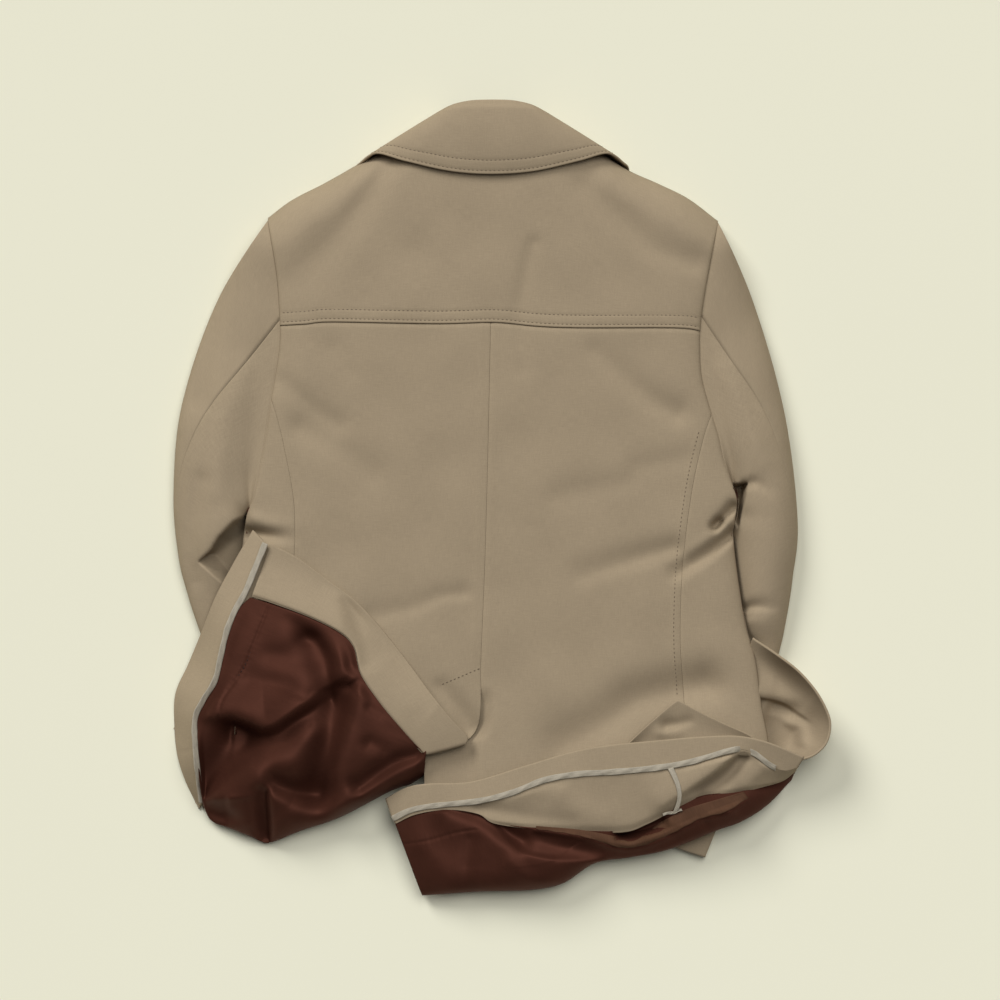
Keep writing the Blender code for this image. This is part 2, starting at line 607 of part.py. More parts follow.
def right_skirt():
    along = evenly(14)
    sheet("hem_facing_right", ruled(HEM_EDGE_RIGHT, TAPE_LINE_RIGHT), evenly(2, 0.0, 0.97), along, SHELL_WALL,
          SHELL_CLOTH, flip=False)
    inside = ruled(TAPE_LINE_RIGHT, LINING_TOP_RIGHT)
    sheet("shell_inside_right", inside, evenly(2, 0.03, 0.97), along, SHELL_WALL, SHELL_CLOTH)

    def tape(u, v):
        a = smooth(TAPE_LINE_RIGHT, [v])[0]
        b = smooth(TAPE_LINE_RIGHT, [min(v + 0.02, 1.0)])[0] - smooth(TAPE_LINE_RIGHT, [max(v - 0.02, 0.0)])[0]
        side = np.array([-b[1], b[0], 0.0]) / math.hypot(b[0], b[1])
        x, y, z = a + side * TAPE_WIDTH * (0.5 - u)
        next_edge = smooth(HEM_EDGE_RIGHT if u < 0.5 else LINING_TOP_RIGHT, [v])[0]
        slope = (next_edge[2] - a[2]) / np.linalg.norm(next_edge[:2] - a[:2])
        return x, y, z + slope * TAPE_WIDTH * abs(0.5 - u) + TAPE_WALL + LAYER_GAP + ease((v - 0.8) / 0.1)
    sheet("hem_tape_right", tape, evenly(2), along[:-1], TAPE_WALL, TAPE_CLOTH)

    def lining(u, v):
        a = smooth(LINING_TOP_RIGHT, [v])[0]
        b = smooth(LINING_FOOT_RIGHT, [v])[0]
        x, y, z = a + (b - a) * u
        reach = (1.0 - u) * np.linalg.norm(b - a)
        return x, y, b[2] + (a[2] - b[2] - 4.0 * u) * roll(reach, LINING_ROLL)
    sheet("lining_right", lining, [0.015, 0.2, 0.4, 0.6, 0.75, 0.87, 0.95, 0.985, 1.0], along, LINING_WALL,
          LINING_CLOTH)

    def hem_fold(u, v):
        share = 0.2 + 0.3 * v
        reach = 0.03 + 0.48 * u * math.sin(math.pi * (0.1 + 0.8 * v))
        x, y, z = lining(reach, share)
        return x, y, z + LINING_WALL + LAYER_GAP
    sheet("lining_hem_right", hem_fold, evenly(3), evenly(7), LINING_WALL, LINING_CLOTH)

    def top(u, v):
        x, y, z = inside(u, v)
        return x, y, z - SHELL_WALL - LAYER_GAP

    def bottom(u, v):
        x, y, z = top(u, v)
        return x, y, min(back_height(x, y) + LAYER_GAP, z - 0.8)
    layers("skirt_layers_right", top, bottom, evenly(3, 0.15, 0.85), along[4:12], SHELL_CLOTH)

    shares = np.linspace(0.5, 0.9, 41)
    middle = float(np.interp(TACK_X, [inside(0.5, share)[0] for share in shares], shares))

    def tack(u, v):
        x, y, z = inside(0.1 + 0.86 * v, middle)
        bow = TACK_BOW * math.sin(math.pi * v)
        return x + bow + TACK_WIDTH * (u - 0.5), y, z + TAPE_WALL + LAYER_GAP
    sheet("lining_tack", tack, evenly(1), evenly(5), TAPE_WALL, TAPE_CLOTH, flip=True)

    def tab(u, v):
        x, y, z = lining(0.03 + 0.16 * v, middle)
        return x + TAB_WIDTH * (u - 0.5), y, z + TAPE_WALL + LAYER_GAP
    sheet("tack_tab", tab, evenly(2), evenly(2), TAPE_WALL, TAPE_CLOTH, flip=True)


def right_trim():
    def loop(u, v):
        a = smooth(LOOP_HEM, [v])[0]
        b = smooth(LOOP_FOOT, [v])[0]
        x, y, z = a + (b - a) * u
        return x, y, z - 7.0 * math.sin(math.pi * u)
    sheet("side_hem_right", loop, evenly(4), evenly(9), SHELL_WALL, SHELL_CLOTH, flip=True)

    def outer(u, v):
        a = smooth(LOOP_HEM, [v])[0]
        b = smooth(LOOP_FOOT, [v])[0]
        inward = (b - a)[:2] / np.linalg.norm((b - a)[:2])
        x, y = a[:2] + inward * (1.0 + 11.0 * u)
        return x, y, a[2] - LOOP_TURN + (LOOP_FLOOR - a[2] + LOOP_TURN) * u
    sheet("side_hem_facing_right", outer, evenly(3), evenly(8, 0.07, 0.7), SHELL_WALL, SHELL_CLOTH)

    def corner(u, v):
        a = smooth(CORNER_EDGE, [v])[0]
        b = smooth(CORNER_FOOT, [v])[0]
        return a + (b - a) * u
    sheet("hem_corner_right", corner, evenly(3), evenly(6), SHELL_WALL, SHELL_CLOTH)


def remove_everything():
    for item in list(bpy.data.objects):
        bpy.data.objects.remove(item, do_unlink=True)
    for group in list(bpy.data.collections):
        bpy.data.collections.remove(group)


def build():
    remove_everything()
    group = bpy.data.collections.new(OBJECT)
    bpy.context.scene.collection.children.link(group)
    yoke()
    back_panels()
    front("front_left", FRONT_LEFT, 1, 0.0)
    front("front_right", FRONT_RIGHT, -1, FRONT_LAP)
    sleeve("sleeve_left", SLEEVE_LEFT, ARMHOLE_LEFT, 1)
    sleeve("sleeve_right", SLEEVE_RIGHT, ARMHOLE_RIGHT, -1)
    collar()
    left_skirt()
    left_lining()
    right_skirt()
    right_trim()


build()
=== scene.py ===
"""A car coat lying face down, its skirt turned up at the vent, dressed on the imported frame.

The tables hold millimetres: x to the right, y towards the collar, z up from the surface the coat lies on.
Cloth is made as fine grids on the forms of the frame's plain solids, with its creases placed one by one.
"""

import math

import bmesh
import bpy
import numpy as np
from bpy.props import FloatProperty, FloatVectorProperty, PointerProperty
from mathutils import Matrix, Vector


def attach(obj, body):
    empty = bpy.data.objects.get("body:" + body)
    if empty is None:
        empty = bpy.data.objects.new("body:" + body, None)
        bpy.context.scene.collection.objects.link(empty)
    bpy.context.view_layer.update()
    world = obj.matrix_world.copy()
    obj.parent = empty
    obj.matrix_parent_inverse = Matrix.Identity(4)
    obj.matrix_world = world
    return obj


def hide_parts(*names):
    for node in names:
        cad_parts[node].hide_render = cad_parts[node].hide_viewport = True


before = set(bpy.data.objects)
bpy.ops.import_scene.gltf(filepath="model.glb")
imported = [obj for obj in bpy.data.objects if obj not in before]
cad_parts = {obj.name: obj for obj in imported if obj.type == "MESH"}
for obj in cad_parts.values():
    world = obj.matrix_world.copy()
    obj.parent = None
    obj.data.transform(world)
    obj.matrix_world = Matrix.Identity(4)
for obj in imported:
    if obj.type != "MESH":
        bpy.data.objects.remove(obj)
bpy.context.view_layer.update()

bl_info = {
    "name": "Car Coat Laid Face Down",
    "version": (1, 0, 0),
    "blender": (4, 5, 0),
    "location": "3D View > Sidebar > Car Coat",
    "description": "Makes the cloth, lining, tape and stitching of a car coat on its frame",
    "category": "Add Mesh",
}

BODY = "root"
MM = 0.001
# The point of the tables that lies over the frame's origin.
MIDDLE = np.array([0.22, 2.0, 0.0])

# How the coat lies: heights above the surface and the radii its edges are rolled to.
SHOULDER_EDGE = 10.0
SHOULDER_ROLL = 36.0
SIDE_ROLL = 34.0
ARMHOLE_EDGE = 36.0
SIDE_EDGE = 25.0
CROWN = 5.0
HALF_BACK = 235.0
FRONT_CURL = 14.0
SLEEVE_UNDER_BODY = 12.0
FRONT_OVER_SLEEVE = 15.0
FRONT_OVER_COLLAR = 5.4
FRONT_LAP = 2.8
VENT_LAP = 5.0
YOKE_LAP = 1.7
LINING_ROLL = 26.0
ROLL_UNDER = 2.2
ROLL_SHARE = 0.8
FLAP_FLOOR = 4.0
FACING_REST = 3.6
FACING_LIFT = 12.0
HEM_FALL_ABOVE = 8.0
HEM_FALL_BELOW = 33.0
HEM_FALL_FOOT = 10.0
TAPE_TILT = 0.5
COLLAR_MIDDLE = -8.0
COLLAR_CROWN = 4.0
LEAST_CLEARANCE = 0.05
# Within this distance a point counts as being on the shoulder seam or, on a front, on the side seam.
SHOULDER_SLACK = 0.2
# Above this y the shoulders bear on the height of the back.
SHOULDERS_ABOVE = 200.0
SEAM_GAP = 0.06

# Places near the edge of a panel at which its grid is finer.
EDGE_PLACES = (0.0, 0.5, 1.1, 1.9, 3.0)

# Height of the flat of the back: y, height.
BACK_TOP = (
    (-400, 28), (-300, 31), (-200, 34), (-100, 37), (0, 40), (100, 42), (200, 42), (300, 41), (380, 39),
)

# Seams and edges of the back: y, x.
EDGE_LEFT = (
    (-305, -270), (-245, -268), (-180, -266), (-110, -262), (-45, -258), (-14, -253), (7, -245), (58, -235),
    (93, -230), (128, -224), (160, -220), (195, -221), (230, -224), (283, -233),
)
EDGE_RIGHT = (
    (-305, 272), (-245, 269), (-206, 262), (-161, 256), (-120, 245), (-60, 236), (-30, 234), (-2, 237),
    (18, 231), (42, 223), (65, 218), (91, 210), (121, 202), (147, 200), (181, 201), (230, 209), (281, 219),
)
SEAM_LEFT = (
    (-305, -212), (-180, -209), (-110, -207), (-40, -205), (0, -206), (50, -215), (90, -225), (130, -240),
)
SEAM_RIGHT = (
    (-305, 188), (-200, 184), (-140, 180), (-70, 182), (0, 190), (50, 200), (85, 211), (130, 232),
)
CENTRE_SEAM = (
    (-243, -38), (-236, -28), (-225, -22), (-210, -19.5), (-190, -19), (-160, -19), (-60, -15), (50, -12),
    (190, -9),
)
UNDERLAP_EDGE = ((-305, -76), (-245, -74), (-225, -60), (-205, -26), (-195, -19.4))
YOKE_SEAM = (
    (-225, 174), (-196, 175.4), (-167, 177.5), (-64, 175.7), (-5, 177), (39, 173), (83, 171.6),
    (177, 171.6), (205, 168),
)
YOKE_TOP = (
    (-233, 283), (-215, 297), (-200, 306), (-180, 316), (-160, 327), (-146, 335), (-118, 350), (-90, 365),
    (-45, 354), (-8, 349), (29, 354), (74, 365), (100, 350), (129, 331), (160, 317), (190, 302), (219, 280),
)
SHOULDER_LEFT = YOKE_TOP[:8]
SHOULDER_RIGHT = YOKE_TOP[11:]
LEFT_BACK_FOOT = ((-212, -240), (-130, -256), (-72, -255), (-45, -248), (-30, -241), (-20, -236))
RIGHT_BACK_FOOT = -305.0
SIDE_PANEL_FOOT = -245.0
# How far a back panel runs up under the yoke.
UNDER_YOKE = 11.0
# The ends of the yoke's lower edge and of its stitching.
YOKE_ENDS = (-222.0, 201.0)
YOKE_STITCH_ENDS = (-219.0, 198.0)
# The row of stitches across the head of the vent, from end to end.
VENT_STITCH = ((-60.0, -185.0), (-20.0, -168.0))
# The row of stitches beside the right princess seam: highest and lowest y, distance from the seam.
SEAM_STITCH = (70.0, -195.0, 6.5)

# Soft troughs (below nought) and ridges of the back, a row for each: its path, its width at each end, its
# depth at each end, and its lean to one side.
BACK_FOLDS = (
    (((-112, 332), (-138, 296), (-160, 265), (-205, 224)), 12, 18, -4.6, -1.6, 0.1),
    (((-134, 326), (-168, 298), (-208, 258)), 12, 14, 1.8, 0.8, 0.0),
    (((-80, 250), (-60, 285)), 18, 18, -1.4, -1.2, 0.0),
    (((88, 314), (118, 282), (150, 253), (192, 236)), 17, 12, -3.4, -2.2, 0.1),
    (((112, 318), (150, 284), (190, 262)), 14, 14, 1.4, 1.0, 0.0),
    (((33, 255), (24, 215), (20, 185), (24, 132)), 8, 10, -1.9, -1.1, 0.0),
    (((96, 148), (128, 118), (154, 98), (176, 86)), 11, 13, -1.6, -3.8, 0.15),
    (((-216, 118), (-185, 90), (-162, 76)), 10, 12, -1.6, -2.4, 0.0),
    (((-165, 150), (-150, 125)), 12, 12, -1.2, -1.0, 0.0),
    (((-198, 72), (-160, 50), (-128, 28)), 14, 15, -2.8, -1.4, 0.0),
    (((-128, -116), (-88, -108), (-62, -97), (-36, -93)), 10, 8, -1.4, -1.8, 0.2),
    (((85, -74), (120, -63), (174, -48)), 13, 10, -2.2, -3.8, 0.2),
    (((58, 4), (95, 12), (130, 18)), 14, 12, -1.3, -1.1, 0.0),
    (((138, 34), (188, 42)), 12, 12, -1.2, -1.2, 0.0),
    (((64, -246), (110, -219), (141, -199), (205, -186)), 20, 20, -5.0, -9.0, 0.15),
    (((178, -73), (205, -56), (233, -34)), 9, 6, -4.0, -8.0, 0.3),
    (((192, -50), (212, -38), (234, -22)), 7, 6, 1.0, 3.0, 0.0),
    (((215, -26), (219, -22)), 4.4, 4.4, -12.0, -10.0, 0.0),
    (((219, -22), (234, -8)), 3.8, 5.0, -4.0, -8.0, 0.3),
    (((-58, -188), (-42, -208), (-30, -228)), 9, 11, -2.5, -5.0, 0.2),
    (((-268, -150), (-250, -190), (-236, -240)), 34, 40, -12.0, -14.0, 0.0),
    (((-205, -196), (-176, -206), (-168, -245)), 24, 28, -11.0, -12.0, 0.0),
    (((-252, -33), (-240, -35), (-226, -37), (-212, -38)), 5, 7, -11.0, -1.5, 0.2),
    (((-246, -18), (-228, -24), (-208, -26)), 6, 8, 2.5, 0.6, 0.0),
)

# Sleeves, a row for each ring: outer x, outer y, inner x, inner y, puff, tuck (share left clear of the body),
# seam (share of the width at which the elbow seam lies), armhole (how far the ring follows it).
SLEEVE_LEFT = (
    (-234, 282, -254, -16, 20, 1.00, 0.34, 1.0),
    (-285, 200, -254, -20, 26, 1.00, 0.33, 0.6),
    (-320, 95, -253, -26, 27, 1.00, 0.20, 0.2),
    (-328, 5, -238, -48, 26, 0.92, 0.03, 0.0),
    (-323, -57, -216, -82, 20, 0.70, 0.01, 0.0),
    (-314, -94, -203, -107, 12, 0.45, 0.01, 0.0),
    (-303, -128, -190, -132, 7, 0.32, 0.01, 0.0),
    (-272, -215, -155, -205, 0, 0.30, 0.01, 0.0),
    (-236, -312, -122, -272, 0, 0.30, 0.01, 0.0),
)
SLEEVE_RIGHT = (
    (220, 280, 237, -4, 20, 1.00, 0.34, 1.0),
    (255, 200, 237, -8, 26, 1.00, 0.32, 0.6),
    (286, 88, 234.5, -15, 27, 1.00, 0.19, 0.2),
    (299, -20, 220, -58, 27, 0.82, 0.03, 0.0),
    (294, -78, 206, -110, 22, 0.61, 0.01, 0.0),
    (288, -118, 192, -145, 16, 0.43, 0.01, 0.0),
    (279, -158, 176, -180, 5, 0.20, 0.01, 0.0),
    (252, -245, 138, -260, 0, 0.16, 0.01, 0.0),
    (206, -359, 76, -316, 0, 0.16, 0.01, 0.0),
)
ARMHOLE_LEFT = (
    (-233, 281), (-224, 230), (-220.5, 160), (-224, 128), (-230, 92), (-236, 50), (-244, 10), (-254, -16),
)
ARMHOLE_RIGHT = (
    (219, 279), (209, 230), (201, 181), (200, 147), (202, 121), (210, 88), (220, 50), (237, -2),
)
SLEEVE_FOLDS_LEFT = (
    (((-272, 215), (-287, 185), (-302, 100)), 9, 12, -2.0, -2.6, 0.0),
    (((-300, 20), (-309, -40), (-304, -80)), 10, 9, -2.0, -1.6, 0.0),
    (((-255, 130), (-275, 80), (-283, 10)), 14, 14, 2.0, 2.0, 0.0),
    (((-250, -11), (-266, -20), (-282, -36), (-291, -49), (-300, -58)), 16, 10, 7.0, 1.0, -0.7),
)
SLEEVE_FOLDS_RIGHT = (
    (((230, 268), (250, 228), (262, 190)), 10, 12, -1.6, -1.8, 0.0),
    (((222, 130), (245, 85), (262, 40)), 10, 12, 1.8, 1.6, 0.0),
    (((244, 14), (256, 16), (268, 8)), 4, 7, -5.0, -1.0, 0.3),
    (((245, -16), (262, -18)), 8, 10, -2.0, -0.6, 0.0),
    (((243, -110), (256, -107), (272, -108)), 4, 7, -5.5, -1.2, 0.4),
    (((248, -122), (264, -120)), 7, 8, 2.2, 1.0, 0.0),
)
# The hollow at each elbow, where the sleeve folds under the body: corners, depth, softness of its brim, and
# how far its wall draws back under its upper brim in x and y for each unit of its depth.
HOLLOW_LEFT = (
    ((-240, -10), (-253, -13), (-267, -22), (-281, -38), (-289, -51), (-302, -62), (-279, -82), (-250, -108),
     (-205, -60)),
    40.0, 21.0, -0.30, 0.30,
)
HOLLOW_RIGHT = (
    ((232.5, 16), (248, 17), (244, -4), (239, -28), (235, -20), (236.5, -3)),
    26.0, 3.5, 0.0, 0.15,
)
# The inner edge of each forearm under the coat: distance below the middle, x.
FOREARM_INNER_LEFT = ((14, -257), (48, -240), (82, -216), (132, -190), (205, -155), (272, -122))
FOREARM_INNER_RIGHT = ((3, 239), (14, 240), (58, 222), (110, 206), (180, 176), (260, 138), (316, 76))

# Fronts, under the coat: outer x, outer y, inner x, inner y, from shoulder to foot.
FRONT_LEFT = (
    (-232, 283, -90, 365), (-227, 266, -78, 342), (-221, 195, -45, 280), (-220, 150, -15, 210),
    (-228, 90, 22, 140), (-242, 20, 32, 60), (-253, -15, 32, 0), (-258, -45, 32, -50),
    (-261, -95, 32, -110), (-265, -165, 32, -180), (-268, -235, 32, -240),
)
FRONT_RIGHT = (
    (218, 281, 74, 365), (213, 264, 62, 342), (202, 195, 40, 280), (200, 150, 42, 210), (209, 90, -10, 140),
    (230, 20, -47, 60), (236, -12, -47, 0), (234.5, -45, -47, -50), (242, -95, -47, -110),
    (257, -165, -47, -180), (268, -235, -47, -240),
)

# Collar, left half from the front end to the middle of the back: roll x, y, z, then outer edge x, y, z.
COLLAR = (
    (-48, 322, 0.4, -122, 238, 0.0),
    (-52, 350, 0.5, -150, 270, 0.0),
    (-56, 374, 0.8, -151, 303, 0.4),
    (-58, 385, 4.0, -146, 327, 2.5),
    (-60, 389, 14.0, -145, 334, 10.0),
    (-59, 390, 28.0, -141, 338, 20.0),
    (-54, 392, 42.0, -124, 347, 38.0),
    (-46, 394.5, 49.5, -94, 338.5, 49.5),
    (-30, 397, 53.0, -50, 328.5, 51.5),
    (-8, 397.5, 54.0, -8, 325.5, 52.0),
)
STAND = (
    (-70, 361.0, -48, 381, 38.0),
    (-58, 358.1, -43, 385, 42.0),
    (-36, 353.8, -29, 389, 45.0),
    (-8, 349.9, -8, 390, 46.5),
)
COLLAR_STITCH_ROWS = (2.4, 12.8)
# The row of the collar's table from which its stitching shows.
COLLAR_STITCH_START = 5.6
YOKE_STITCH_ROWS = (3.4, 12.6)
STITCH_DIP = 0.4
STITCH_PROUD = 0.15
# How far a stitch sinks into the cloth, as a share of its thread.
THREAD_SINK = 0.25
# Distances from a stitched edge at which the grid of the yoke or the collar has a row.
YOKE_ROWS = (0.0, 0.8, 1.8, 2.7, 3.4, 4.1, 5.2, 7.0, 9.0, 11.0, 11.9, 12.6, 13.4, 14.8)
COLLAR_ROWS = (0.0, 0.8, 1.6, 2.4, 3.2, 4.2, 6.0, 8.5, 10.8, 11.9, 12.8, 13.7, 15.0, 17.5)
YOKE_DEPTH = 180.0
YOKE_WIDTH = 440.0

# The left skirt, thrown up and out: the crown it is heaped to and the curves its pieces run between.
FLAP_TOP = 59.0
FLAP_MIDDLE = (-170.0, -190.0)
FLAP_FALL_LEFT = 0.0009
FLAP_FALL_RIGHT = 0.0005
FLAP_FALL_ALONG = 0.0005
FLAP_DROOP = 0.2
FLAP_DROOP_BELOW = -240.0
FLAP_DROOP_EASE = 20.0
VENT_EDGE_LEFT = (
    (-229, -43), (-200, -58), (-170, -80), (-138, -105), (-100, -150), (-70, -190), (-49, -216),
    (-36, -230), (-31, -238), (-35, -244),
)
FACING_LINE_LEFT = (
    (-247, -95), (-225, -102), (-190, -115), (-160, -130), (-145, -145), (-138, -172), (-120, -200),
    (-100, -225), (-74, -255),
)
HEM_EDGE_LEFT = (
    (-248, -29), (-265, -58), (-285, -95), (-300, -130), (-315, -165), (-328, -195), (-329, -230),
    (-326, -257), (-317, -285), (-304, -312),
)
TAPE_LINE_LEFT = (
    (-234, -43), (-242, -63), (-254, -92), (-264, -110), (-272, -130), (-278, -155), (-284, -180),
    (-296, -200), (-304, -218), (-304, -245), (-302, -272), (-299, -304),
)
LINING_SIDE_LEFT = (
    (-249, -97), (-264, -112), (-271, -132), (-277, -156), (-283, -181), (-295, -201), (-303, -219),
    (-303, -245), (-301, -275), (-298, -306),
)
LINING_FOOT_LEFT = (
    (-298, -306), (-290, -322), (-270, -330), (-250, -338), (-232, -344), (-200, -332), (-160, -318),
    (-110, -292), (-90, -285), (-76, -276),
)
FACING_FOLDS_LEFT = (
    (((-150, -100), (-142, -122), (-133, -162)), 8, 9, -2.6, -2.0, 0.0),
    (((-162, -96), (-158, -125)), 10, 8, 1.6, 1.2, 0.0),
    (((-112, -165), (-88, -200)), 14, 14, 1.4, 1.4, 0.0),
)
LINING_FOLDS_LEFT = (
    (((-282, -214), (-264, -216), (-250, -219), (-233, -223), (-213, -212), (-197, -201), (-178, -187),
      (-166, -180)),
     15, 13, 8.0, 5.5, 0.5),
    (((-266, -228), (-240, -238), (-221, -235), (-205, -224), (-189, -213),
      (-170, -201)), 13, 11, -14.0, -9.0, -0.4),
    (((-268, -224), (-252, -229)), 7, 7, -3.0, -3.0, 0.0),
    (((-262, -247), (-283, -268), (-299, -290)), 21, 16, -18.0, -16.0, -0.2),
    (((-232, -250), (-262, -274), (-290, -300)), 18, 16, 3.5, 4.0, 0.3),
    (((-238, -278), (-215, -262), (-190, -232)), 26, 22, 7.0, 6.0, 0.0),
    (((-143, -186), (-152, -217), (-158, -247), (-159, -276), (-156, -298)), 20, 22, 4.5, 5.0, 0.3),
    (((-156, -190), (-164, -217), (-172, -247), (-178, -276), (-182, -296)), 13, 17, -13.0, -16.0, -0.2),
    (((-226, -282), (-205, -290), (-172, -294)), 10, 13, -8.0, -6.0, 0.2),
    (((-72, -260), (-103, -275), (-146, -301), (-162, -307), (-207, -310), (-217, -305), (-231, -298)),
     15, 16, 2.5, 5.0, 0.2),
    (((-78, -254), (-105, -263), (-140, -286)), 7, 9, -5.0, -8.0, -0.2),
    (((-202, -114), (-192, -132)), 11, 11, -8.0, -8.0, 0.0),
    (((-184, -140), (-174, -165), (-172, -188)), 13, 12, -12.0, -11.0, -0.3),
    (((-161, -134), (-156, -165), (-155, -190)), 10, 10, 3.0, 3.0, 0.2),
    (((-147, -138), (-144, -162)), 8, 8, -7.0, -7.0, 0.0),
    (((-135, -175), (-149, -185)), 3.4, 4.4, -4.0, -3.0, 0.3),
    (((-296, -299), (-270, -296), (-248, -293), (-236, -287)), 11, 11, 4.0, 4.0, 0.5),
    (((-287, -313), (-272, -318)), 11, 10, -9.0, -8.0, 0.0),
    (((-269, -300), (-269, -323)), 7, 7, 3.5, 3.0, 0.4),
    (((-236, -292), (-235, -322), (-234, -346)), 7.5, 8, -11.0, -14.0, -0.3),
    (((-254, -305), (-250, -322)), 10, 10, 3.0, 3.0, 0.0),
    (((-248, -178), (-218, -184), (-192, -196)), 10, 8, -2.4, -3.0, 0.2),
    (((-228, -155), (-190, -159)), 11, 11, -2.2, -1.8, 0.0),
    (((-129, -206), (-119, -211)), 6, 6, -1.8, -1.2, 0.0),
    (((-129, -242), (-117, -249)), 8, 8, -3.2, -2.0, 0.0),
    (((-250, -125), (-262, -150)), 12, 11, 1.4, 1.0, 0.0),
)
LINING_HEM_LINE_LEFT = ((-230, -104), (-246, -145), (-256, -168), (-276, -198), (-280, -216))

# The right skirt, turned up: x, y, z along its hem, its tape, the top of its lining and its foot.
HEM_EDGE_RIGHT = (
    (-115, -299, 27), (-93, -287, 35), (-70, -283, 40), (-29, -281, 43), (25, -265, 47), (89, -247, 51),
    (169, -238, 54), (217, -235, 55), (242, -236, 55), (271, -243, 53), (303, -257, 47),
)
TAPE_LINE_RIGHT = (
    (-108, -319, 27), (-86, -309, 35), (-54, -304, 41), (-21, -300, 45), (11, -292, 47), (44, -279, 49),
    (77, -273, 50.5), (110, -271, 51.5), (143, -268, 52.5), (166, -265, 53), (192, -260, 54),
    (225, -250, 54.5), (240, -248, 54), (254, -253, 51), (270, -265, 47), (284, -270, 44), (297, -267, 43),
)
TAPE_END_RIGHT = 0.945
# The two lines pressed into the right hem where a seam lies under it.
PRESSED_LINES = (153.0, 160.0)
# Where the tape dips out of sight beside the soft fold of the shell's inside: x, depth, reach.
TAPE_HIDDEN = (243.0, 4.0, 6.0)
LINING_TOP_RIGHT = (
    (-105, -324, 26.5), (-84, -314, 34.5), (-52, -309, 40), (-22, -313, 42), (-6, -322, 42), (29, -327, 41),
    (80, -330, 40), (124, -330, 40), (147, -322, 42), (169, -311, 44), (201, -296, 45), (233, -292, 43),
    (264, -286, 35), (283, -281, 29), (295, -273, 27),
)
LINING_FOOT_RIGHT = (
    (-78, -397, 6), (-22, -393, 4), (32, -391, 4), (64, -384, 5), (95, -364, 11), (131, -358, 15),
    (169, -350, 15.5), (217, -331, 15.5), (242, -322, 14), (268, -306, 9), (293, -281, 8),
)
INSIDE_FOLDS_RIGHT = (
    (((233, -252), (214, -268), (190, -284), (165, -300)), 9, 14, 6.5, 4.5, -0.5),
    (((241, -257), (226, -275), (203, -293)), 7, 8, -7.0, -5.0, 0.0),
    (((262, -268), (248, -282)), 9, 9, 2.4, 1.8, 0.0),
    (((60, -300), (100, -318)), 14, 14, 1.8, 1.8, 0.0),
    (((-20, -306), (30, -317), (70, -322)), 8, 10, -2.6, -1.4, 0.0),
    (((20, -292), (60, -290)), 10, 10, 1.4, 1.2, 0.0),
)
LINING_FOLDS_RIGHT = (
    (((-53, -308), (-25, -312), (-8, -325), (11, -345), (28, -355), (54, -360),
      (94, -362)), 12, 9, 4.0, 3.5, -0.6),
    (((-42, -305), (-18, -316), (2, -329), (22, -342)), 9, 9, -9.0, -7.0, 0.0),
    (((25, -336), (60, -346), (100, -352)), 9, 7, -3.0, -5.0, 0.0),
    (((-30, -340), (-33, -362), (-31, -392)), 9, 9, -2.2, -2.6, 0.3),
    (((-80, -345), (-60, -368), (-50, -390)), 12, 12, 2.0, 2.0, 0.0),
    (((10, -362), (30, -378), (58, -384)), 9, 8, 2.4, 2.0, 0.0),
    (((36, -329), (80, -336), (112, -346), (128, -349), (150, -344), (175, -332), (200, -319), (225, -312),
      (246, -299)),
     3, 3, 2.6, 2.6, -0.2),
    (((122, -333), (136, -332), (160, -322)), 6, 7, -15.0, -8.0, 0.0),
    (((126, -352), (180, -338), (230, -314)), 7, 7, -2.6, 1.6, 0.0),
    (((252, -276), (276, -283), (292, -285)), 9, 8, -9.0, -8.0, 0.0),
    (((205, -322), (212, -334)), 4, 4, -2.6, -2.0, 0.0),
    (((228, -312), (240, -322)), 7, 7, 2.4, 2.0, 0.0),
)
LINING_HEM_LINE_RIGHT = ((-99, -345), (-71, -340), (-44, -332), (-25, -329))
REVERSE_TOP_RIGHT = (
    (36, -325), (80, -329), (112, -335), (130, -341), (145, -334), (160, -322), (186, -308), (215, -299),
    (243, -291),
)
REVERSE_FOOT_RIGHT = (
    (36, -328), (80, -335), (112, -345), (128, -348), (150, -343), (175, -331), (200, -318), (225, -311),
    (248, -297),
)
# The right side hem that stands out as a loop: x, y, z along its hem, and its foot beside the body.
LOOP_HEM = (
    (280, -262, 39), (303, -257, 46), (315, -252, 47), (325, -242, 47), (329, -228, 47), (327, -214, 47),
    (316, -193, 46), (299, -173, 44), (280, -158, 40), (252, -139, 33),
)
LOOP_FOOT = (
    (266, -258, 10), (270, -246, 8), (268, -240, 7), (266, -233, 6), (264, -224, 6), (262, -212, 8),
    (260, -196, 12), (257, -180, 15), (254, -165, 19), (249, -148, 25),
)
LOOP_FLOOR = 5.0
LOOP_TURN = 9.0
LOOP_SAG = 19.0
# The outer edge of the right forearm under the loop (y, x), and its height.
FOREARM_EDGE = ((-300, 236), (-245, 252), (-158, 279), (-118, 288))
FOREARM_SLOPE = 12.0
FOREARM_TOP = 14.0
LOOP_FOLDS = (
    (((254, -197), (270, -199), (286, -204), (300, -213)), 13, 11, 13.0, 4.0, 0.8),
    (((258, -206), (275, -208), (292, -212)), 6, 7, -9.0, -5.0, 0.2),
    (((290, -224), (301, -228), (304, -242)), 6, 7, 3.0, 5.0, 0.0),
    (((264, -226), (276, -229), (286, -238)), 8, 8, -6.0, -6.0, 0.0),
)
CORNER_EDGE = (
    (120, -252, 43), (131, -241, 44), (150, -223, 45.5), (175, -202, 47), (180, -202, 47), (199, -212, 46),
    (224, -224, 45), (246, -234, 44), (262, -244, 42),
)
CORNER_SAG = 2.0
CORNER_WALL = 0.0006
CORNER_FOLDS = (
    (((166, -226), (178, -224), (188, -221)), 6, 5, -3.0, -1.6, 0.2),
    (((160, -232), (176, -232)), 7, 7, 2.0, 1.4, 0.0),
)
